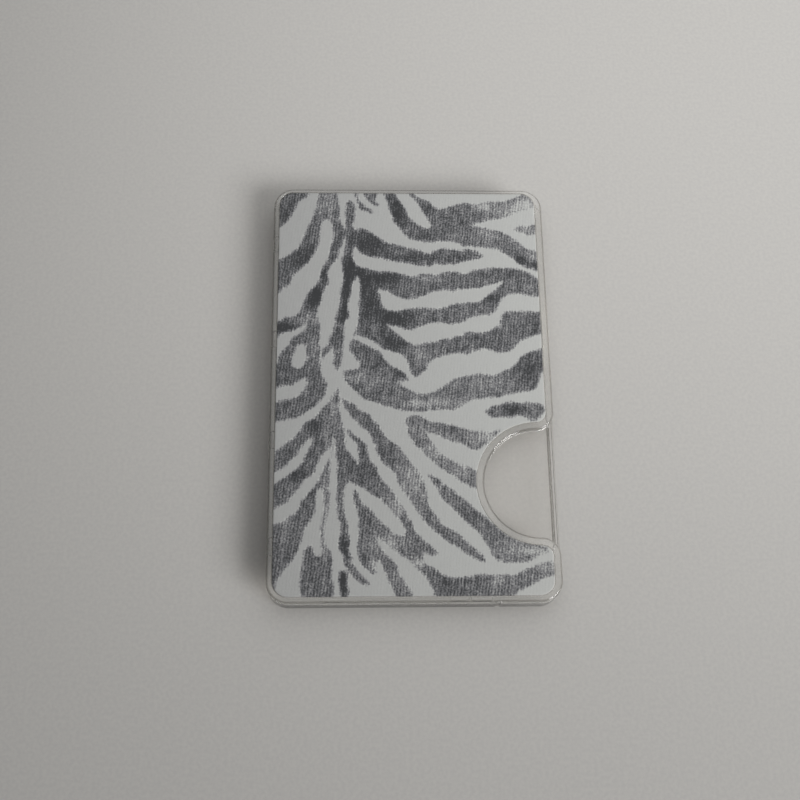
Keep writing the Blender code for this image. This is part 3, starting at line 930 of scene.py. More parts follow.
@dataclass(frozen=True)
class ZebraPrint:
    """Zebra stripe pattern, in percent of the sheet from its lower left corner.

    Each shape is drawn white on the ink, then the dark shapes are drawn over the white ones.
    """

    white_shapes: tuple[str, ...] = (
        # Upper left whisker stripe
        "-3,89 0,90.4 1.8,91.4 3.5,92.5 4.8,94 6,95.6 7.2,97.3 8.5,98.2 10.3,98.8 11.5,100 12,103 "
        "15.5,103 15.1,99.3 14.6,97.1 13.9,94.9 12.9,93.1 11.6,91.4 10.6,89.6 9.5,87.8 8.4,85.9 "
        "7.4,84.8 5.3,83.7 3.2,82.8 0,81.7 -3,81",
        # Left stripe beside it
        "17,92.3 18.6,92.6 20,92.3 20.7,91.1 21,89.4 20.8,87.6 20.3,85.6 19.9,84.1 19.2,82.3 "
        "18.2,80.7 17.3,79.6 16.4,78.3 15.9,76.7 14.8,75.2 13.2,74.2 12,73 10.9,71.6 10.1,70.6 "
        "9.4,69.6 8.9,68.4 7.9,67.5 5.5,66.8 3.1,66.5 1.4,66.1 0,65.2 -3,64.5 -3,71.5 0,72.5 1.1,73.2 "
        "2.1,74.2 3.7,74.6 4.9,76.3 5.8,77.6 7.2,78.4 9,79.6 10.6,80.7 12,81.6 13,82.9 14.5,84.1 "
        "15.2,85.8 15.7,88 15.9,90 16.4,91.1",
        # Top white with the bands round the broad dark stripe
        "23.4,103 23.4,96 23.6,93 24,91.6 25,90.8 26,90.7 27,91.2 28.9,90.5 29.6,89.8 31,90.3 "
        "33.8,89.9 35.6,89.1 37.4,88.3 39.1,87.4 41.6,86.5 44.4,86 47.1,85.5 49.9,85 52.8,84.7 "
        "54.9,84.3 56.6,83.6 58.4,83.5 59.8,84.3 61.9,84.6 64.7,84.9 67.6,84.7 70.4,84.5 73.2,84.7 "
        "75.7,84.3 77.4,83.8 79,82.9 77.8,82.3 75.7,81.9 73.2,81.7 71.1,81.4 69.3,81 67.6,80.4 "
        "65.8,81 64,80.7 62.3,80.5 60.2,81 58.8,80.3 57,80.2 54.9,80.3 52.4,80.5 50.2,80.8 46.9,81.2 "
        "44.1,81.5 41.6,81.8 39.8,82.3 37.4,82.4 35.3,82.6 33.1,83.2 31.7,83.6 30.7,84.5 29.8,85.1 "
        "28.8,84.8 28.4,83.2 28.7,81.6 29.6,80.5 30.7,80 33.5,79.5 35.6,79.1 37.4,78.7 39.8,78.6 "
        "42.3,78.6 45.2,78.3 47.2,77.9 49.6,77.5 52.1,77.4 53.8,77.9 55.6,78.2 58,78.2 60.9,77.9 "
        "62.6,78.3 64.7,78.5 66.9,78.7 68.6,78.6 70,78.3 72.5,78.1 74.3,78.8 76,79.2 78.5,79.5 "
        "81,79.7 85.5,79.7 90.8,79.6 93,79.4 95.1,79 96.8,78.2 98.6,77.6 100,77 103,76 103,78.2 "
        "100,78.7 97.9,79.2 95.8,79.8 93.7,80.5 91.9,81.3 90.5,82.3 88.4,83.1 86.6,83.9 84.8,84.7 "
        "80.3,85.2 75,85.5 71.4,85.7 69,86.5 66.2,86.9 61.9,86.7 58,86.5 54.9,86.8 52.1,87.3 49.6,88 "
        "47.8,89.4 46.5,90.5 45.1,91.8 44.3,93.1 43.4,94.7 42.8,96 42.3,97.3 41.6,98.4 40.6,99.6 "
        "40.2,103",
        # Slanting white below the top edge
        "44.8,103 45.4,100 45.9,98.9 47.1,97.5 48.4,96.2 49.6,94.8 51,93.2 52.8,92 54.6,91.1 "
        "56.6,90.5 58,90.3 59,90.8 59,91.6 58,92.4 57.2,93.5 56.3,94.6 55.2,95.8 54.4,97 53.3,98 "
        "52,98.9 50.8,99.7 50,101 49.5,103",
        # White along the top edge
        "52,103 53.2,99.8 54.5,98.9 56,98.3 58,98.1 59.2,97.3 60,96.5 61.2,96 63,95.8 65,96 67,96.4 "
        "70,97.1 73,97.3 77.4,97.2 80,97.6 84.8,97.8 87.3,97.9 89.4,98.1 91.2,98.6 93,99.1 95,99.7 "
        "96,101 96,103",
        # White in the upper right
        "75.5,91.2 78,92 80,92.3 83,92.8 87.3,93.2 89.4,93.6 91.2,94.1 93,94.8 95.8,95.3 98,95.8 "
        "100,96.3 103,97 103,84 100,84.5 97.9,84.7 95.8,85 94.4,85.9 92.6,87 90.8,87.9 88.7,88.8 "
        "87,89.5 84.8,89.9 82.4,90.1 80.3,90.5 77.8,90.8",
        # Long white under the broad stripe
        "38.5,74 40.2,73.8 42.3,73.2 44.1,72.5 46.2,72 49.2,71.4 52.5,71.7 55.2,72.2 57,72.6 "
        "58.8,73.3 61,73.6 64.7,73.9 66.9,73.4 69,73.9 73.2,74.2 77.4,74.5 81.3,75.2 84.5,75.8 "
        "86,76.2 85,75 83.6,74.2 82,73.3 80.6,72.5 79,71.7 77.4,70.9 75.5,70.5 73,70.5 70.7,70.3 "
        "68.6,70.3 66.2,69.9 64,69.3 60.2,68.8 55.9,69.1 51.7,69.1 47.5,68.5 44,68.3 41.3,68.8 "
        "39.8,69.7 39.2,71.2 38.8,72.8",
        # White across the middle right
        "41.6,64.9 43.3,64.7 45.2,64.4 47.4,63.8 50,63.4 52.3,63.8 54.2,64.3 57,65.1 59.3,65.4 "
        "63.4,65.2 65.6,65 68.1,65.1 70.3,65.5 72.2,66.1 74,66.8 77.4,67.2 80.2,67.3 82.1,68 "
        "83.4,68.9 84.1,70 85.5,71.4 87.3,72.3 89.4,72.9 92.6,72.9 95,72.6 98.9,72.1 103,72.3 103,68 "
        "98.6,68.2 94.7,68.2 90.2,68.3 88,68.2 86.1,67.7 85.2,66.9 84.6,65.8 84.2,64.7 82.8,64.2 "
        "81,63.6 79.1,63 77.3,62.7 75.1,62.8 72.9,62.9 70.9,62.7 70,62 67.8,61.7 65.6,61.3 61.4,60.9 "
        "60,60.3 56,60.2 54.2,59.8 52.2,59.5 50.5,59.9 48.6,60.6 47,61.4 45.2,62.3 43.7,63.2 "
        "42.3,64.1",
        # White below it
        "45.4,50.1 47.4,50.4 49.8,50.8 50.9,51.7 52,51.4 53.1,51.8 54.5,52.6 55.6,53.1 56.4,53.9 "
        "56.8,54.8 58.2,55.7 59.7,56.3 61.2,56.7 63.4,56.9 65.6,57.3 67.8,57.5 70,57.5 71.4,57.1 "
        "72.9,57.6 74.4,58 76.6,58.3 79.1,58.4 81.3,58.3 82.8,57.8 84.6,57.7 87.2,57.9 89.1,58.5 "
        "90.2,59.5 91.6,60.2 93.1,60.8 94.9,61.3 97.1,62 100,62.6 103,63 103,59 100,58.8 98.2,58.4 "
        "96,57.9 93.8,57.2 92,56.5 90.5,55.6 89.8,54.7 88.3,54 86.5,53.3 84.6,52.8 82.8,52.3 "
        "80.6,51.9 78,52 75.5,52.3 72.9,51.9 70.7,51.8 68.5,51.3 66.7,51 65.2,50.5 64.1,49.8 "
        "62.3,49.2 60.8,48.5 59,47.9 57.1,47.4 54.9,47.2 52.7,47.5 50.5,47.9 49,48.5 47.2,49.1",
        # White slanting up from the spine
        "28.5,63 29.5,62.3 31.2,61.8 33.4,61.3 35.6,60.8 37.1,60.2 38.5,59.5 40,58.8 41.9,58.2 "
        "44.1,57.9 45.9,57.5 47.7,56.8 48.8,55.6 49.4,54.2 50,52.8 51,51.7 50.5,50.6 49.6,50.6 "
        "48.8,51.6 47.4,52.5 45.9,53.2 44.1,53.9 42.2,54.5 40.8,55.6 39.6,56.8 38.5,57.7 37.1,58.4 "
        "35.2,59.1 33,59.8 31.2,60.4 30,60.9 28.4,61",
        # Spine, centre band, left band and lower right
        "25.3,88.2 26,87.2 25.9,86.3 25.6,84.9 25,83.6 24.7,82.5 24.3,81.2 24.7,79.8 25,78.5 "
        "25.2,77.2 24.9,75.9 24.3,74.5 24,73 23.8,71.4 23.4,69.7 22.8,68 22,66.7 21.8,65.3 21.3,63.7 "
        "20.6,62.3 19.8,61.3 19.5,60.2 18.7,59.2 17.6,58.7 17.1,57.5 17.2,56.2 18.4,56.9 19.5,57.9 "
        "20.2,58.8 20.8,59.5 21.1,58.4 21.3,57 21.3,55.6 21.7,54.2 22.8,53.1 23.7,54.1 24,55.4 "
        "24.4,57 24.8,58.6 25,60.2 25.1,62.1 25.3,64.4 25.4,65.7 26.7,66.4 27,67.6 26.6,69.3 "
        "26.6,70.2 27,71.4 27.7,73 28,74.3 28.2,75.4 29.3,76.5 30.3,77.4 31,77 31.4,75.9 31.6,74.5 "
        "31.4,72.8 31.2,71.2 31,69 30.8,67.2 30.5,65.3 29.9,63.7 29,62.3 28.4,61 27.8,60.5 27.5,59.3 "
        "27.7,57.9 28.6,57.2 29.7,56.1 30.7,55.4 31,54.3 30.4,53.5 28.6,53.3 26.4,53.3 25.3,52.8 "
        "25.2,51.6 25.7,50.5 26.8,49.6 27.9,48.9 29.4,48 30.5,47.3 31.9,46.3 33.8,45.8 36,45.5 "
        "37.8,45 39.6,44.5 41.9,44.1 44.1,43.6 46.3,43.3 48.5,43 55,42.9 57.9,43.2 63.4,43.4 "
        "66.3,43.4 68.5,44.1 70.3,44.8 71.6,45.3 73.3,45.8 78,46.2 83.2,46.5 87.2,47.3 92,47.7 "
        "95.7,48.2 97.1,48.8 97.8,50 98.3,51.2 99.3,52.6 100,53.1 103,54 103,7.6 100,7.6 99,7.7 "
        "97.1,7.4 94.9,7.2 93.1,6.7 91.6,6.2 89.8,5.8 88,5.2 86.1,4.6 81.7,4.6 77.3,4.5 75.1,4.7 "
        "72.9,4.6 70.7,4.3 66.7,4 64.1,4 61.5,4.4 59.7,4.9 58.2,5.8 56.7,6.2 54.9,6.9 53.4,8.3 "
        "54.2,9.6 56,9.2 58,9.1 58.6,9.6 57.5,10.4 56,11.3 54.5,12 53.1,12.9 51.6,13.8 50.3,15.2 "
        "49.6,16.4 48.8,17.5 47.7,18.7 47,19.8 45.9,21 44.4,22.2 43,23.5 41.5,24.9 40,25.8 38.9,26.8 "
        "37.8,27.9 37.1,29.3 36,30.2 34.9,31.2 34.1,32.3 33.9,33.6 33.4,34.8 31.9,35.8 30.5,36.5 "
        "29,37.4 27.5,38.3 26.4,38.7 26.6,37.6 27.9,36.5 29,35.6 29.8,35 30.5,34.2 30.6,32.5 "
        "30.6,30.9 30.1,30.3 29.4,31 28.3,32.1 27.2,33 26.1,33.9 25.5,34.8 25.7,35.8 25.6,36.9 "
        "25.3,38.1 25,39.2 24.4,40.6 24,42.2 23.7,43.6 23.8,45 23.5,47 23.4,48.3 22.7,48.7 21.7,47.5 "
        "20.7,46.6 20.2,45.7 19.5,45 18.4,44.4 17.3,43.8 16.2,42.9 15.2,42 14.3,41.4 12.8,40.8 "
        "11.4,40.4 10.5,39.7 9.9,38.8 8.8,38.1 7.9,37.2 6.6,36.5 5.1,35.8 3.3,34.8 1.8,34 0,33.1 "
        "-3,32 -3,40.2 0,40.4 2.9,40.8 4.8,41.1 7,41.4 8.8,41.8 10.6,42.5 12.1,43.3 14,44.1 15.4,44.8 "
        "16.5,45.7 17.6,46.4 18.4,47.1 18.7,48.2 19.1,49.4 18,50.8 16.9,51.9 16.5,53.3 16.7,54.7 "
        "16.3,56.1 16.2,57.9 16,59.1 15.8,60.5 16,62.1 16.2,63.7 15.8,65.3 15.2,66.7 15.1,67.8 "
        "15.4,69 15.9,69.8 16.4,71 16.7,72.1 17.3,73.4 18.3,74.5 19,75.9 18.9,77.2 18.7,78.5 "
        "19.4,79.4 20.1,80.1 21.5,81.2 22.4,82.3 22.9,83.4 23.6,84.5 24.3,85.6 24.8,87",
        # Short white at the left side
        "-3,61 0,61.4 0.8,62 1.8,62.4 3.7,62.9 5.5,63.1 7,63.5 8.4,64 9.5,64.4 10.6,64.7 11,64.2 "
        "10.3,63.5 9.5,62.8 8.1,62.2 6.6,61.6 5.5,60.9 4.8,60 4,59.1 2.9,58.4 1.8,57.7 1.1,56.8 "
        "0.5,55.6 0,55 -3,54",
        # Island at the left
        "9.3,59.9 10.8,59.4 11,58 11.2,56.9 12.2,56.5 11.1,55.8 10.5,54.7 9.5,53.8 8.1,53.5 6.6,53.8 "
        "5.7,54.3 5.9,56 6.6,57.5 7.2,58.6 7.9,59.4",
        # Finger at the left side
        "-3,48.8 0,48.9 2,49 3.7,49.4 5.5,49.4 7.3,50 8.8,50.7 9.9,51.2 10.8,51.2 11.2,50.6 12.1,50.2 "
        "11.6,49.6 10.6,48.7 9.9,47.8 8.8,47.1 7.3,46.5 5.5,46 3.3,45.8 1.1,45.5 -3,45.4",
        # Lower left white
        "16.6,25 17.3,24.5 17.7,23 18,21.5 17.8,19.8 17.6,18 17.3,16.4 16.9,14.8 17.1,13.2 17.3,11.5 "
        "17.6,10.2 17.1,9.2 15.8,8.8 14.7,9.5 14.3,10.8 13.6,11.5 12.6,11.3 11.7,10.6 11,9.4 10.6,8 "
        "10.3,6.2 10.1,4.2 10,1.8 10,-2 1.5,-2 1.2,2.6 1.8,3.7 2.9,4.8 4,5.8 5.5,6.9 7,8.1 8.1,9 "
        "9.2,10.4 9.8,11.6 10.1,12.8 10.6,14 11.2,15 12.2,16 13,17 14,18 14.6,19 15.1,20.3 15.2,21.7 "
        "15.4,23.1 15.9,24.3",
        # Upright whites near the bottom
        "21.4,36.4 22,35.3 22,33.9 22.4,32.3 22.8,30.5 22.9,28.8 22.8,26.8 22.8,24.9 22.6,23.1 "
        "22.6,21.2 22.8,19.4 23.3,17.8 23.9,16.4 24.2,15.2 24,13.8 23.5,12.7 23.5,11.3 23.9,10.2 "
        "25,8.8 25.3,7.6 26.1,6.5 27.2,5.3 28.2,4.6 29.4,3.9 31.2,3 33,2.4 34.3,2.6 33,3.8 31.2,4.9 "
        "30.1,5.8 29,6.7 28,7.7 28.3,8.5 27.5,9.5 26.8,10.4 27.2,11.3 27.3,12.7 27,13.8 26.6,15.2 "
        "26.4,16.6 25.7,18 25.3,19.4 25.1,20.8 25,22.2 25.1,23.5 25.5,25 26.4,25.7 27.3,26 29,25.6 "
        "30.1,25.2 31.9,24.7 33.8,24 35.6,23.1 37.4,22.4 39.3,21.5 40.7,20.5 41.9,19.6 43.3,18.5 "
        "44.8,17.3 45.9,16.4 46.8,15.5 47.5,14.5 46.6,13.7 44.8,13.7 43,14.1 41.5,15 40,15.9 "
        "38.2,16.8 36.7,18 35.2,19.2 33.8,20.1 32.3,20.8 31.2,21.9 30.5,23.1 29.6,24.2 28.9,24 "
        "28.6,23.1 28.8,21.7 29.4,20.5 30.1,19.4 30.7,17.8 30.8,16.4 30.7,15 30.5,13.4 30.3,11.8 "
        "30.1,10.2 30.5,8.8 31.2,7.4 32.3,6.5 33.8,5.8 35.2,4.9 36.3,4.9 36.9,6 37.2,7.4 38.4,7.5 "
        "39.3,6.3 39.8,5.5 40.4,5.1 40.7,3.9 41.5,2.8 42.2,1.6 43,0.5 43.6,-2 27,-2 26.8,0 27,1.4 "
        "26.4,2.5 26.4,3.7 26.4,5 25,5.6 23.9,5.3 23.5,4.2 23.7,2.5 24.2,0 24,-2 21.4,-2 21.7,1.4 "
        "21.3,3.2 20.9,5.1 21.1,6.9 21.1,8.3 20.6,9.8 19.6,10.9 18.7,12 18.4,13.8 18.5,15.2 19.1,16.8 "
        "19.5,18.7 20,20.3 20.2,22.2 20,24.5 20,26.8 20,29.1 20.3,31.2 20.6,33 20.9,34.6 21,35.6",
        # Long white rising from the left side
        "-3,20 0,19.8 1.5,20.3 2.9,20.7 4.8,21.2 5.9,22.2 7.3,23.5 8.8,24.7 9.7,25.6 10.6,26.5 "
        "12.1,27.1 13.6,27.7 14.7,28.6 15.1,29.8 15.8,30.9 16.9,32.1 18.4,33.2 19.8,33.9 20.8,33.8 "
        "20.8,32.2 20,31.4 19.1,30.5 18,29.3 17.3,28.2 16.5,27.2 15.8,26.1 14.7,24.9 13.6,24.2 "
        "12.5,23.5 11.4,22.6 10.1,21.7 9.5,20.8 8.8,19.8 7.3,18.7 5.5,18 4,17.1 2.6,16.7 0,16.2 -3,16",
        # Narrow white above it
        "13.3,36.6 12.2,36.2 11,35.3 9.7,34.3 8.5,33 7,31.8 5.5,31 4.4,30.2 2.9,29.3 1.5,28.7 0,28.2 "
        "-3,27.5 -3,24.5 0,25.5 1.5,26.1 2.9,26.8 4.4,27.3 5.9,28 7.3,28.8 8.8,29.8 10.2,30.6 "
        "10.8,31.6 11.7,33 12.8,34.2 13.8,35.4",
        # White slanting to the bottom edge
        "37,13.4 38.5,12.5 40,11.8 41.5,10.8 43.3,10.2 45.1,9.5 46.9,8.6 48.3,8 49.8,7.1 51.2,6.2 "
        "52.7,5.1 54.2,4.2 55.3,3 56.4,1.8 57.1,0.5 57.6,-2 50,-2 49.2,0.2 48.5,1.4 47.4,2.5 46.3,3.7 "
        "45.2,4.6 44.4,5.8 43.7,6.9 42.6,7.8 41.1,8.8 39.6,9.9 37.8,11.5",
        # White in the lower right corner
        "86,0.4 86.5,0.7 88.3,1.4 90.2,1.8 92,2.3 93.8,3 95.7,3.7 97.5,3.9 103,4 103,-2 85.5,-2",
    )
    dark_shapes: tuple[str, ...] = (
        # Drop near the top
        "26.4,97.6 27.6,97.9 28.9,97.2 29.6,95.8 29.6,93.8 29,92.3 28.3,91 28,89.5 26,89.5 25.8,91 "
        "25.8,93.4 25.7,95.6 25.9,96.9",
        # Dash near the top
        "29.2,103 29.3,100 29.9,98.6 30.4,97.3 31,96.2 31.9,95.5 33.5,95 35.2,94.5 36.2,94.4 "
        "36.1,95.2 35.2,95.6 33.9,96.2 32.5,97 31.3,97.9 30.5,99 30.3,100 30.3,103",
        # Second dash near the top
        "33,103 33,99.4 33.6,98.6 34.8,97.7 36.3,96.9 38,96.5 38.7,96.9 37.7,97.6 37.2,98.4 37.7,99.3 "
        "38.2,100 38.5,103",
        # Dash at the right side
        "91.5,90.2 92.8,90.8 94.5,91.1 96.5,91.1 98.6,91.5 100,91.7 103,92 103,89 100,89 97.9,88.6 "
        "95.8,88.8 94,89.4 92.4,89.7",
        # Leaf above the thumb notch
        "77.5,42.9 78.8,43.6 80.2,44.1 82.4,44.4 84.6,44.9 86.5,45.2 88.7,45.2 90.9,45 93.1,45.1 "
        "95.3,45 97.5,44.9 99,44.5 99.9,44.1 99.7,43.2 98.6,42 97.5,41.3 96.4,40.7 95.3,40.4 "
        "93.8,40.7 92.4,41.4 90.5,41.9 88.3,41.7 86.5,41.4 84.3,41.5 82.1,41.4 80.2,41.4 78.8,41.9 "
        "77.9,42.5",
        # Long slanting stripe
        "24.6,45.9 25.7,45.8 27.5,45.2 29.4,44.3 30.8,43.4 32.7,42.8 34.5,42.2 35.3,41.3 36.7,40.4 "
        "37.8,39.5 38.9,38.5 40,37.4 41.5,36.2 43.3,35.3 45.1,34.6 46.9,33 48.7,31.5 50.5,30.1 "
        "52.2,28.8 53.4,27.5 54.2,26.1 54.9,24.5 55.5,22.8 55.6,21.2 56.4,19.6 57.8,18.5 59,17.3 "
        "60.1,16.2 61.9,15.5 64.1,14.8 65.9,14.1 67.4,13.2 68.9,12.2 70.3,11.3 72.2,10.4 73.6,9.5 "
        "75.1,8.5 75.4,7.6 74,7.5 72.2,8.1 70.3,8.8 68.5,9.5 66.7,10.4 64.8,11.3 63,12 61.2,12.7 "
        "59.7,13.6 57.8,14.5 56,15.5 54.2,16.7 52.9,18 51.3,19.4 50.2,20.6 48.6,22 47.2,23.2 46,24.4 "
        "45.2,25.3 44.7,26.4 44.1,27.5 43,28.6 41.5,29.5 40,30.2 38.2,31.8 37.1,33.7 36.5,35 35.7,36 "
        "35.2,36.8 34.5,37.8 33.4,38.5 31.6,39.2 30.1,40.4 28.6,41.3 27.3,42.5 26.1,43.4 25,44.3",
        # Hooked stripe beside the notch
        "48,41.2 49.8,41.8 52,41.9 54.2,41.7 55.6,41.1 57.5,40.5 59.7,40.2 61.9,40 64.1,39.7 "
        "66.3,39.3 68.1,39.1 70,38.7 72.2,38.2 74.7,38 77.3,38 79.9,37.9 81.7,38.3 83.4,38.3 "
        "82.1,37.4 80.6,36.7 79.5,35.8 78,35.1 76.6,34.6 75.1,33.9 73.3,33.7 71.4,33.9 70,34.6 "
        "68.5,35.1 66.7,35.3 64.8,35.6 62.6,36.2 60.4,36.9 58.2,37.4 56.4,37.8 55.4,37.9 55.8,37 "
        "56.6,36.2 57.8,35.2 59,34.2 59.9,33.3 61.2,32.5 63.4,31.6 65.6,30.7 67.8,30.1 70,29.8 "
        "71.4,29.4 72.5,28.8 74,28.5 75,28.5 75,24.5 73.1,24.3 72.2,24.9 70.7,25 69.2,25.6 67.4,26.3 "
        "65.6,27 63.7,27.9 61.9,28.6 60.4,29.3 59,30.2 57.1,31.2 55.3,32.1 53.8,33.2 52,34.3 "
        "50.5,35.4 49.4,36.7 48.7,38.1 48.3,39.5 47.8,40.4",
        # Stripe below the notch
        "56,27.5 57.1,27.6 58.6,27 60.1,26.4 61.2,25.6 63,24.9 64.8,24 66.7,22.8 68.5,21.9 70.3,21 "
        "72.2,19.8 74,18.9 76.2,17.8 78,16.6 79.9,15.7 81.7,15 82.8,14.1 84.6,13.2 86.5,12.7 "
        "88.3,12.2 90.2,12 92.4,11.8 94.6,11.4 96.4,11.1 97.9,10.6 98.2,10.2 97.9,9.5 95.7,9.1 "
        "93.8,8.7 92.4,8.1 90.5,7.5 88,7.3 85.4,7.3 82.8,7.3 80.6,7.7 79.1,8.4 78,9.2 77.3,10.2 "
        "76.6,11.1 75.5,12.2 74.4,13.4 73.3,14.3 71.8,15.2 70.3,15.9 68.9,16.8 67.4,17.8 66.3,18.7 "
        "64.8,19.6 63.4,20.5 61.5,21.5 60.1,22.6 59.7,24 58.6,24.9 57.1,25.8 56.6,26.5",
    )
    # Where the ink took deeper: place, reach across and up, and how much deeper
    deep_ink: str = (
        "46,95,3,4,.33 35,86.5,5,2.5,.29 9,83,4,2.5,.22 13.5,72.5,2.5,2,.64 17,78,2,2,.28 "
        "28,78.5,3,2.5,.6 26,73,1.5,2.5,.37 25.5,67,1.5,2,.4 38.5,77,7,1.2,.27 34,70,2.5,3.5,.24 "
        "44,66,4,2.2,.43 50,66,4,2,.02 42.5,60,4.5,1.8,.27 47,52.5,2,1.2,.29 40,55,4,1.5,.13 "
        "34,76,12,9,.11 2,64,3,1,.37 1.5,94,2.5,1.5,.2 14,39.5,2,1.2,.3 8,28,2.5,1.2,.34 "
        "25.5,11,1.9,2.2,.33 25,3,1.5,2.5,.48 32,30,3.5,2.5,.15 42,33,3.5,2,.06 "
        "88,43.3,3,1,.42 95,53.5,4.5,4,.26 94,82,2,.9,.47 99,80.5,2,1,.27 82,71.5,4,1.2,.23 87,78,5,1,.13 "
        "82,61,3,1.2,.12 98,64,3,2,.14 66,59,6,.9,.06 53,82.5,5,1,.2 68,82.5,5,1,.16 71.5,91.7,1,.6,.3 "
        "76,93.5,3,1,.05 57,95.5,3,1,.09 56,88.5,3,1,.09 64,90,3,1.2,.08 69,18,4,1.5,.15 "
        "61,2.5,2.5,1,.29 72,2.5,5,1.5,.06 78,68,14,14,.03"
    )
    # Where it took less
    thin_ink: str = (
        "19,97,3.5,4,.21 28,94,1.8,3,.07 90,95,8,2,.24 97,97.3,4,1.5,.34 80,96.5,3,1,.32 80,89,4,1.5,.2 "
        "96,90,4,1.2,.2 98,83,3,1.5,.21 57,77,4,.8,.18 12,66,3,1.5,.14 8,66,3,1.5,.1 14,59,2,3,.18 "
        "30,51.5,3,1.2,.24 37,51,4,1.5,.12 54,57,3,2,.15 51,45.5,2,1.5,.18 60,45,10,1.2,.28 75,50,10,2,.13 "
        "52,39,4,1.5,.13 77,36.5,5,1.6,.28 60,34,5,3,.22 69,29,3,2,.22 50,26,5,6,.24 44,20,3,2,.24 "
        "41,12,5,2,.3 36,7,1.5,1.5,.34 52,7.5,2.5,1.2,.34 44,3,3,2,.16 18.5,20,1.5,10,.25 22,42,3,6,.18 "
        "5,15,3,5,.1 82,11,4,1.5,.11 92,10,6,1.2,.32 97,6.5,4,1.5,.28 92,3.5,3,1,.07 80,3,3,1,.21"
    )
    even_ink: float = 0.78
    least_ink: float = 0.15
    most_ink: float = 1.3
    blot_strength: float = 1.5
    blot_spread: float = 1.4
    line_steps: int = 4
    reach: float = 3.0 * MM

    def edge_distance(self, places: np.ndarray, low: np.ndarray, size: np.ndarray) -> np.ndarray:
        """Finds how far each place lies inside the white.

        Args:
            places: points on the sheet.
            low: lower left corner of the sheet.
            size: its width and length.

        Returns:
            Signed distances in millimetres, above nought in the white.
        """
        depths = []
        for shapes in (self.white_shapes, self.dark_shapes):
            runs = [low + read_numbers(shape, 2) / 100 * size for shape in shapes]
            lines = [rounded_run(run, self.line_steps) for run in runs]
            depths.append(np.max([depth_inside(places, line, self.reach) for line in lines], axis=0))
        return np.minimum(depths[0], -depths[1]) / MM

    def ink_depth(self, places: np.ndarray, low: np.ndarray, size: np.ndarray) -> np.ndarray:
        """Finds how deep the ink took at each place.

        Args:
            places: points on the sheet.
            low: lower left corner of the sheet.
            size: its width and length.

        Returns:
            Depths, from nought for none to one for the deepest.
        """
        shares = (places - low) / size * 100
        depth = np.full(len(places), self.even_ink)
        for sign, spots in ((1, self.deep_ink), (-1, self.thin_ink)):
            for u, v, across, up, change in read_numbers(spots, 5):
                away = ((shares[:, 0] - u) / across) ** 2 + ((shares[:, 1] - v) / up) ** 2
                depth += sign * change * self.blot_strength * np.exp(-away / self.blot_spread)
        return np.clip(depth, self.least_ink, self.most_ink)


# Sub-assemblies

Tab = tuple[bool, float, float, float]


@dataclass(frozen=True)
class SnapTabs:
    """Tabs that stand up from the tray's edge and catch in windows in the cover."""

    thickness: float = 0.5 * MM
    height: float = 0.95 * MM
    clearance: float = 0.08 * MM
    root: float = 0.3 * MM
    side_length: float = 3.4 * MM
    side_centres: tuple[float, ...] = (31.5 * MM, 10.0 * MM, -11.5 * MM, -33.0 * MM)
    end_places: tuple[Point, ...] = ((-15.4 * MM, 3.7 * MM), (8.5 * MM, 3.5 * MM), (12.75 * MM, 3.9 * MM))
    catch_height: float = 0.35 * MM
    window_height: float = 0.5 * MM
    hook_reach: float = 0.35 * MM
    hook_clearance: float = 0.05 * MM

    def faces(self, form: CaseForm) -> list[Tab]:
        """Lists the tabs.

        Args:
            form: sizes of the case.

        Returns:
            For each tab, whether it lies in the closed end, its middle, its length and its inner face.
        """
        side = -form.half_width + form.wall_side - self.clearance
        end = -form.half_length + form.wall_end - self.clearance
        tabs = [(False, middle, self.side_length, side) for middle in self.side_centres]
        return tabs + [(True, middle, length, end) for middle, length in self.end_places]

    def footprint(self, tab: Tab, outer: float, inner: float, half: float) -> Outline:
        """Draws a rectangle along a tab.

        Args:
            tab: the tab, as faces lists it.
            outer: the outer edge, across the wall.
            inner: the inner edge.
            half: half the rectangle's length.

        Returns:
            The four corners.
        """
        in_end, middle = tab[:2]
        if in_end:
            return box_outline(middle - half, middle + half, outer, inner)
        return box_outline(outer, inner, middle - half, middle + half)

    def tongues(self, form: CaseForm) -> list[Piece]:
        """Makes the tabs with the barbs on them, to be added to the tray.

        Args:
            form: sizes of the case.

        Returns:
            A tab and a barb for each place.
        """
        solids = []
        top = form.seam + self.height - self.clearance
        low = form.seam + self.catch_height + self.hook_clearance
        high = form.seam + self.catch_height + self.window_height - self.hook_clearance
        for tab in self.faces(form):
            in_end, middle, length, inner = tab
            outer = inner - self.thickness
            edge = self.footprint(tab, outer, inner, length / 2)
            solids.append(slab("tab", edge, form.seam - self.root, top))
            root = outer + self.thickness / 2
            profile = [(root, low), (outer - self.hook_reach, low), (outer, high), (root, high)]
            half = length / 2 - self.clearance - self.hook_clearance
            solids.append(bar("barb", profile, middle - half, middle + half, in_end))
        return solids

    def openings(self, form: CaseForm) -> list[Piece]:
        """Makes the slots and windows, to be cut out of the cover.

        Args:
            form: sizes of the case.

        Returns:
            A slot and a window for each tab.
        """
        solids = []
        low = form.seam + self.catch_height
        for tab in self.faces(form):
            in_end, _, length, inner = tab
            outer = inner - self.thickness - self.clearance
            slot = self.footprint(tab, outer, inner + self.clearance, length / 2 + self.clearance)
            solids.append(slab("slot", slot, form.seam - CLEARANCE, form.seam + self.height))
            past = -(form.half_length if in_end else form.half_width) - CLEARANCE
            window = self.footprint(tab, past, inner - self.thickness / 2, length / 2 - self.clearance)
            solids.append(slab("window", window, low, low + self.window_height))
        return solids


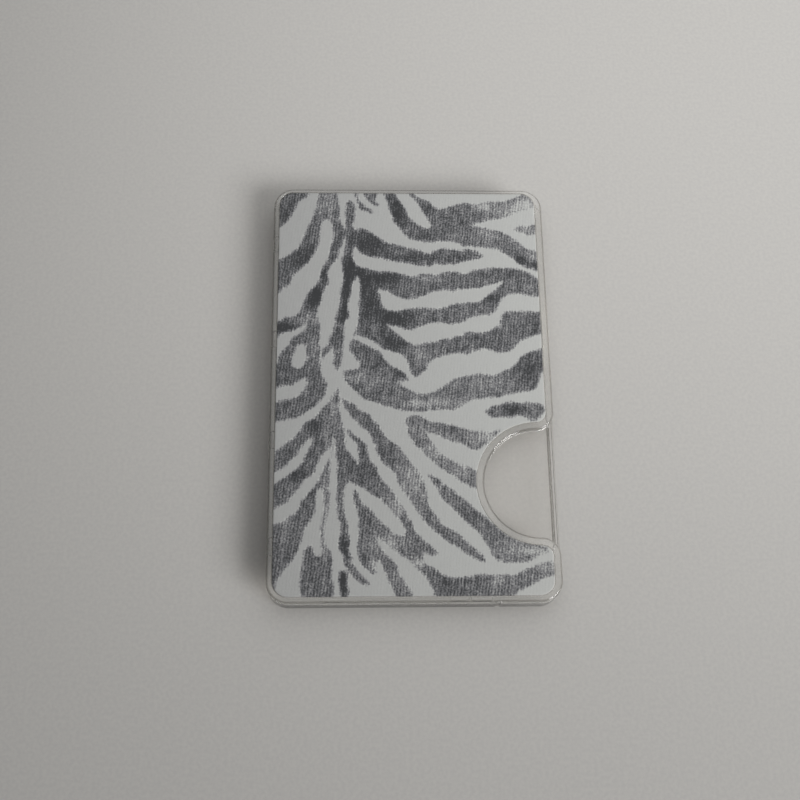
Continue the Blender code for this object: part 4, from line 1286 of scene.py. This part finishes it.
@dataclass
class BackTray:
    """Lower shell with the card floor, the low thumb lip and the pockets for the magnets."""

    form: CaseForm
    tabs: SnapTabs
    lip_thickness: float = 0.85 * MM
    lip_fillet: Point = (1.8 * MM, 1.1 * MM)
    lip_round: float = 0.12 * MM
    fillet_steps: int = 16
    round_steps: int = 5
    bay_half_length: float = 11.9 * MM
    bay_depth: float = 8.0 * MM
    ring_y: float = 13.65 * MM
    ring_inner: float = 22.9 * MM
    ring_outer: float = 27.1 * MM
    pocket_depth: float = 1.5 * MM
    bar_half_width: float = 3.2 * MM
    bar_bottom: float = -36.65 * MM
    bar_top: float = -16.65 * MM
    bar_corner: float = 1.0 * MM
    ring_steps: int = 160

    def thumb_bay(self) -> Piece:
        """Makes the hollow behind the low lip, round at its root and eased at its top.

        Returns:
            The solid to cut out of the tray.
        """
        form = self.form
        right = form.half_width - self.lip_thickness
        low = form.floor
        top = form.seam - form.seam_gap / 2
        wide, tall = self.lip_fillet
        ease = self.lip_round
        quarter = arc((0.0, 0.0), 1.0, -90, 0, self.fillet_steps)
        fillet = [(right - wide + wide * x, low + tall + tall * y) for x, y in quarter]
        eased = arc((right + ease, top - ease), ease, 180, 90, self.round_steps)[1:]
        ends = [(right + ease, form.cavity_top), (right - self.bay_depth, form.cavity_top)]
        profile = fillet + eased + ends + [(right - self.bay_depth, low)]
        near = form.notch[1] - self.bay_half_length
        far = form.notch[1] + self.bay_half_length
        return bar("thumb_bay", profile, near, far, False)

    def pockets(self) -> list[Piece]:
        """Makes the ring and bar pockets in the back.

        Returns:
            The solids to cut out of the tray.
        """
        centre = (0.0, self.ring_y)
        outer = arc(centre, self.ring_outer, 0, 360, self.ring_steps)[:-1]
        inner = arc(centre, self.ring_inner, 0, 360, self.ring_steps)[:-1]
        width = self.bar_half_width
        bar_edge = Border(-width, width, self.bar_bottom, self.bar_top, self.bar_corner).outline()
        return [
            ring_slab("ring_pocket", outer, inner, -CLEARANCE, self.pocket_depth),
            slab("bar_pocket", bar_edge, -CLEARANCE, self.pocket_depth),
        ]

    def build(self) -> Piece:
        """Builds the shell in the order in which a mould would form it.

        Returns:
            The finished tray.
        """
        form = self.form
        top = form.seam - form.seam_gap / 2
        rounds = (form.foot_round, form.seam_round)
        tray = loft("clear_back_tray", form.rounded_rings(form.border(False), (0.0, top), rounds))
        above = form.seam + CLEARANCE
        tools = [
            slab("cavity", form.cavity_outline(), form.floor, above),
            slab("relief", form.relief_outline(), form.floor, above),
            self.thumb_bay(),
            slab("gate", form.gate_outline(), -CLEARANCE, above),
        ]
        combine(tray, tools + self.pockets(), Join.CUT)
        combine(tray, self.tabs.tongues(form), Join.ADD)
        smooth(tray)
        return tray

    def dress(self, tray: Piece, plastic: Material) -> None:
        """Gives the tray its plastic and its place in the model."""
        hand_over(tray, plastic, "back_tray")


@dataclass
class FrontCover:
    """Upper shell with the thumb notch, the window face and the recess that holds the sheet."""

    form: CaseForm
    tabs: SnapTabs
    recess: Border
    recess_floor: float = 4.65 * MM
    recess_round: float = 0.08 * MM
    round_steps: int = 4

    def rings(self) -> list[Ring]:
        """Stacks the outer form and runs on over the rim into the recess.

        Returns:
            The outlines with their heights, in the order in which they are joined.
        """
        form = self.form
        low = form.seam + form.seam_gap / 2
        rounds = (form.seam_round, form.crown_round)
        rings = form.rounded_rings(form.border(True), (low, form.thickness), rounds)
        radius = self.recess_round
        for x, y in arc((0.0, 0.0), radius, 90, 0, self.round_steps):
            rings.append((self.recess.outline(x - radius), form.thickness - radius + y))
        rings.append((self.recess.outline(), self.recess_floor))
        return rings

    def build(self) -> Piece:
        """Builds the shell and cuts what lets it close over the tray.

        Returns:
            The finished cover.
        """
        form = self.form
        cover = loft("clear_front_cover", self.rings())
        below = form.seam - CLEARANCE
        tools = [
            slab("cavity", form.cavity_outline(), below, form.cavity_top),
            slab("relief", form.relief_outline(), below, form.cavity_top),
            slab("gate", form.gate_outline(), below, form.thickness + CLEARANCE),
        ]
        combine(cover, tools + self.tabs.openings(form), Join.CUT)
        smooth(cover)
        return cover

    def dress(self, cover: Piece, plastic: Material) -> None:
        """Gives the cover its plastic and its place in the model."""
        hand_over(cover, plastic, "front_cover")


@dataclass
class PrintedSheet:
    """Cloth-faced card with the zebra print, and the adhesive film that holds it down."""

    border: Border
    pattern: ZebraPrint = field(default_factory=ZebraPrint)
    low: float = 4.75 * MM
    high: float = 5.25 * MM
    film_low: float = 4.66 * MM
    film_inset: float = 0.6 * MM
    film_gap: float = 0.005 * MM
    edge_round: float = 0.12 * MM
    edge_steps: int = 4
    fold_angle: float = 50.0
    grid: float = 0.36 * MM

    def stepped(self, inset: float) -> Outline:
        """Draws the outline with its straight runs split as finely as the grid.

        Args:
            inset: how far in the outline lies.

        Returns:
            Points anticlockwise, the same number for every inset.
        """
        plain = self.border.outline()
        points = []
        moved = self.border.outline(inset)
        for number, start in enumerate(plain):
            follow = (number + 1) % len(plain)
            steps = max(1, math.ceil(math.dist(start, plain[follow]) / self.grid))
            first, second = Vector(moved[number]), Vector(moved[follow])
            points += [tuple(first.lerp(second, step / steps)) for step in range(steps)]
        return points

    def face(self, edge: Outline, turned_down: bool) -> tuple[list[Point], list[Face]]:
        """Fills an outline with small triangles, its own points first.

        Args:
            edge: the outline.
            turned_down: true for a face that looks down.

        Returns:
            The points, and the triangles by point number.
        """
        outline = np.array(edge)
        low, high = outline.min(axis=0), outline.max(axis=0)
        rows = np.arange(low[1], high[1], self.grid * math.sqrt(3) / 2)
        inner = []
        for number, y in enumerate(rows):
            across = np.arange(low[0] + number % 2 * self.grid / 2, high[0], self.grid)
            inner.append(np.stack([across, np.full(len(across), y)], axis=1))
        spots = np.concatenate(inner)
        spots = spots[depth_inside(spots, outline, MM) > self.grid / 2]
        points = [Vector(p) for p in np.concatenate([outline, spots])]
        count = len(outline)
        lines = [(number, (number + 1) % count) for number in range(count)]
        _, _, faces, origins, *_ = delaunay_2d_cdt(points, lines, [], 1, 1e-9)
        number_of = {new: old[0] for new, old in enumerate(origins)}
        ordered = [tuple(p) for p in points]
        triangles = [tuple(number_of[corner] for corner in face) for face in faces]
        if turned_down:
            triangles = [tuple(reversed(face)) for face in triangles]
        return ordered, triangles

    def build(self) -> Piece:
        """Builds the sheet as a closed solid with rounded edges and puts the print's numbers on it.

        Returns:
            The finished sheet.
        """
        radius = self.edge_round
        turn = arc((0.0, 0.0), radius, 0, 90, self.edge_steps)
        rings = [(self.stepped(0.0), self.low)]
        rings += [(self.stepped(radius - x), self.high - radius + y) for x, y in turn]
        bottom, bottom_faces = self.face(rings[0][0], True)
        top, top_faces = self.face(rings[-1][0], False)
        count = len(rings[0][0])
        corners = [(x, y, self.low) for x, y in bottom]
        bases = [0]
        for outline, height in rings[1:-1]:
            bases.append(len(corners))
            corners += [(x, y, height) for x, y in outline]
        bases.append(len(corners))
        corners += [(x, y, self.high) for x, y in top]
        faces = list(bottom_faces)
        faces += [tuple(corner + bases[-1] for corner in face) for face in top_faces]
        faces += walls(count, bases)
        sheet = object_from("zebra_cloth_sheet", corners, faces)
        smooth(sheet, self.fold_angle)
        self.lay_print(sheet)
        return sheet

    def lay_print(self, sheet: Piece) -> None:
        """Stores the distance to the stripe edges and the ink depth on every point of the sheet.

        Args:
            sheet: the object that takes the print.
        """
        mesh = sheet.data
        flat = np.zeros(len(mesh.vertices) * 3)
        mesh.vertices.foreach_get("co", flat)
        places = flat.reshape(-1, 3)[:, :2]
        low = np.array([self.border.left, self.border.bottom])
        size = np.array([self.border.right, self.border.top]) - low
        for name, values in (
            (EDGE_ATTRIBUTE, self.pattern.edge_distance(places, low, size)),
            (INK_ATTRIBUTE, self.pattern.ink_depth(places, low, size)),
        ):
            layer = mesh.attributes.new(name, "FLOAT", "POINT")
            layer.data.foreach_set("value", values.astype(np.float32))

    def build_film(self) -> Piece:
        """Builds the adhesive film under the sheet.

        Returns:
            The finished film.
        """
        top = self.low - self.film_gap
        film = slab("sheet_adhesive", self.border.outline(self.film_inset), self.film_low, top)
        smooth(film)
        return film

    def dress(self, sheet: Piece, film: Piece) -> None:
        """Gives the sheet its cloth and the film its adhesive."""
        hand_over(sheet, PrintedCloth().material(), "printed_sheet")
        hand_over(film, AdhesiveFilm().material(), "sheet_film")


@dataclass
class MagnetPack:
    """Ring of arc magnets and the bar magnet, each under a steel shield and behind a white film."""

    magnet_count: int = 16
    nickel: PlatedMetal = PlatedMetal(
        "nickel_plated_neodymium", "#D8D2C6", "#B9B4AA", 0.28, 0.35 * MM, 1.2 * MM
    )
    steel: PlatedMetal = PlatedMetal("cold_rolled_steel", "#B4B6B8", "#8C8E90", 0.4, 0.12 * MM, 4.0 * MM)

    def dress(self, nodes: dict[str, Piece]) -> None:
        """Gives the CAD solids of the pack their finishes.

        Args:
            nodes: the CAD objects by name.
        """
        nickel = self.nickel.material()
        steel = self.steel.material()
        film = WhiteFilm().material()
        finishes = {f"ring_magnet_{number:02d}": nickel for number in range(1, self.magnet_count + 1)}
        finishes |= {"bar_magnet": nickel, "shield_ring": steel, "bar_shield": steel}
        finishes |= {"ring_cover": film, "bar_cover": film}
        for name, material in finishes.items():
            for holder in nodes[name].material_slots:
                holder.material = material
            log.info("%s: dressed in %s", name, material.name)


@dataclass(frozen=True)
class SoftLamp:
    """Lamp behind a flat diffuser, which looks straight at a point on the table."""

    name: str
    place: Corner
    aim: Point
    width: float
    height: float
    level: float
    glints: bool
    face_steps: int = 9

    def build(self, measured_at: Vector) -> None:
        """Adds the lamp, with the power that gives its level on the table.

        Args:
            measured_at: the place on the table where the level holds.
        """
        place = Vector(self.place)
        way = (place - Vector((*self.aim, 0.0))).normalized()
        turn = way.to_track_quat("Z", "Y").to_matrix()
        shares = [(step + 0.5) / self.face_steps - 0.5 for step in range(self.face_steps)]
        reached = 0.0
        for across, along in product(shares, shares):
            on_face = place + turn.col[0] * across * self.width + turn.col[1] * along * self.height
            to_lamp = on_face - measured_at
            straight = to_lamp.normalized()
            reached += straight.z * straight.dot(way) / to_lamp.length_squared
        data = bpy.data.lights.new(self.name, "AREA")
        data.shape = "RECTANGLE"
        data.size = self.width
        data.size_y = self.height
        data.energy = self.level * math.pi**2 * self.face_steps**2 / reached
        lamp = bpy.data.objects.new(self.name, data)
        lamp.location = place
        lamp.rotation_euler = turn.to_euler()
        lamp.visible_camera = False
        lamp.visible_glossy = self.glints
        lamp.visible_transmission = self.glints
        bpy.context.scene.collection.objects.link(lamp)
        log.info("%s: %.2f W", self.name, data.energy)


@dataclass(frozen=True)
class SoftRoom:
    """Pale room around the table, dim as a lamp and even as a backdrop."""

    light: str = "#FFFFFF"
    light_strength: float = 0.07

    def build(self) -> None:
        """Builds the room's light and what the camera, gloss and clear plastic see of it."""
        world = bpy.data.worlds.new("soft_room")
        bpy.context.scene.world = world
        world.use_nodes = True
        world.node_tree.nodes.clear()
        add = partial(add_node, world.node_tree)
        light = add("Background", (linear(self.light), self.light_strength))
        backdrop = add("Background", (linear(BACKDROP), 1.0))
        add("OutputWorld", (add("MixShader", (seen_directly(add), light, backdrop)),))


@dataclass(frozen=True)
class Studio:
    """Table, room, lamps and the camera that looks down on the case."""

    table_reach: float = 4.0
    table_rings: tuple[float, ...] = (0.05, 0.3, 1.0)
    table_steps: int = 64
    table_drop: float = 0.05 * MM
    camera_place: Corner = (-11.84 * MM, -83.04 * MM, 231.73 * MM)
    camera_turns: tuple[tuple[float, str], ...] = ((19.35, "X"), (-2.26, "Y"), (-0.06, "Z"))
    lens: float = 54.0
    measured_at: Corner = (-35.0 * MM, 5.0 * MM, 0.0)
    lamps: tuple[SoftLamp, ...] = (
        SoftLamp("key_lamp", (0.771, -0.57, 0.529), (0.0, 0.0), 0.623, 0.444, 0.405, True),
        SoftLamp("overhead_lamp", (0.099, 0.159, 0.12), (0.099, 0.159), 0.373, 0.373, 0.351, False),
    )

    def build_table(self) -> None:
        """Builds the table in a few rings, so that it isn't one bare plane."""
        count = self.table_steps
        rings = [arc((0.0, 0.0), self.table_reach * share, 0, 360, count)[:-1] for share in self.table_rings]
        corners = [(x, y, -self.table_drop) for ring in rings for x, y in ring]
        faces = [tuple(range(count))] + walls(count, range(0, len(corners), count))
        table = object_from("table", corners, faces)
        table.data.materials.append(TableTop().material())

    def build_camera(self) -> None:
        """Sets the camera where the photograph was taken from."""
        data = bpy.data.cameras.new("camera")
        data.lens = self.lens
        data.clip_start = MM
        camera = bpy.data.objects.new("camera", data)
        view = Matrix.Translation(self.camera_place)
        for angle, axis in self.camera_turns:
            view = view @ Matrix.Rotation(math.radians(angle), 4, axis)
        camera.matrix_world = view
        bpy.context.scene.collection.objects.link(camera)
        bpy.context.scene.camera = camera

    def build(self) -> None:
        """Builds the whole stage."""
        bpy.context.scene.view_settings.view_transform = "Standard"
        SoftRoom().build()
        self.build_table()
        self.build_camera()
        for lamp in self.lamps:
            lamp.build(Vector(self.measured_at))


def main() -> None:
    """Builds the stage, the shells, the sheet and the magnet pack."""
    logging.basicConfig(level=logging.INFO, format="%(message)s")
    Studio().build()
    form = CaseForm()
    tabs = SnapTabs()
    plastic = ClearPolycarbonate().material()
    tray = BackTray(form, tabs)
    tray.dress(tray.build(), plastic)
    cover = FrontCover(form, tabs, form.sheet_border(form.sheet_clearance))
    cover.dress(cover.build(), plastic)
    sheet = PrintedSheet(form.sheet_border(0.0))
    sheet.dress(sheet.build(), sheet.build_film())
    MagnetPack().dress(frame["nodes"])


if __name__ == "__main__":
    main()
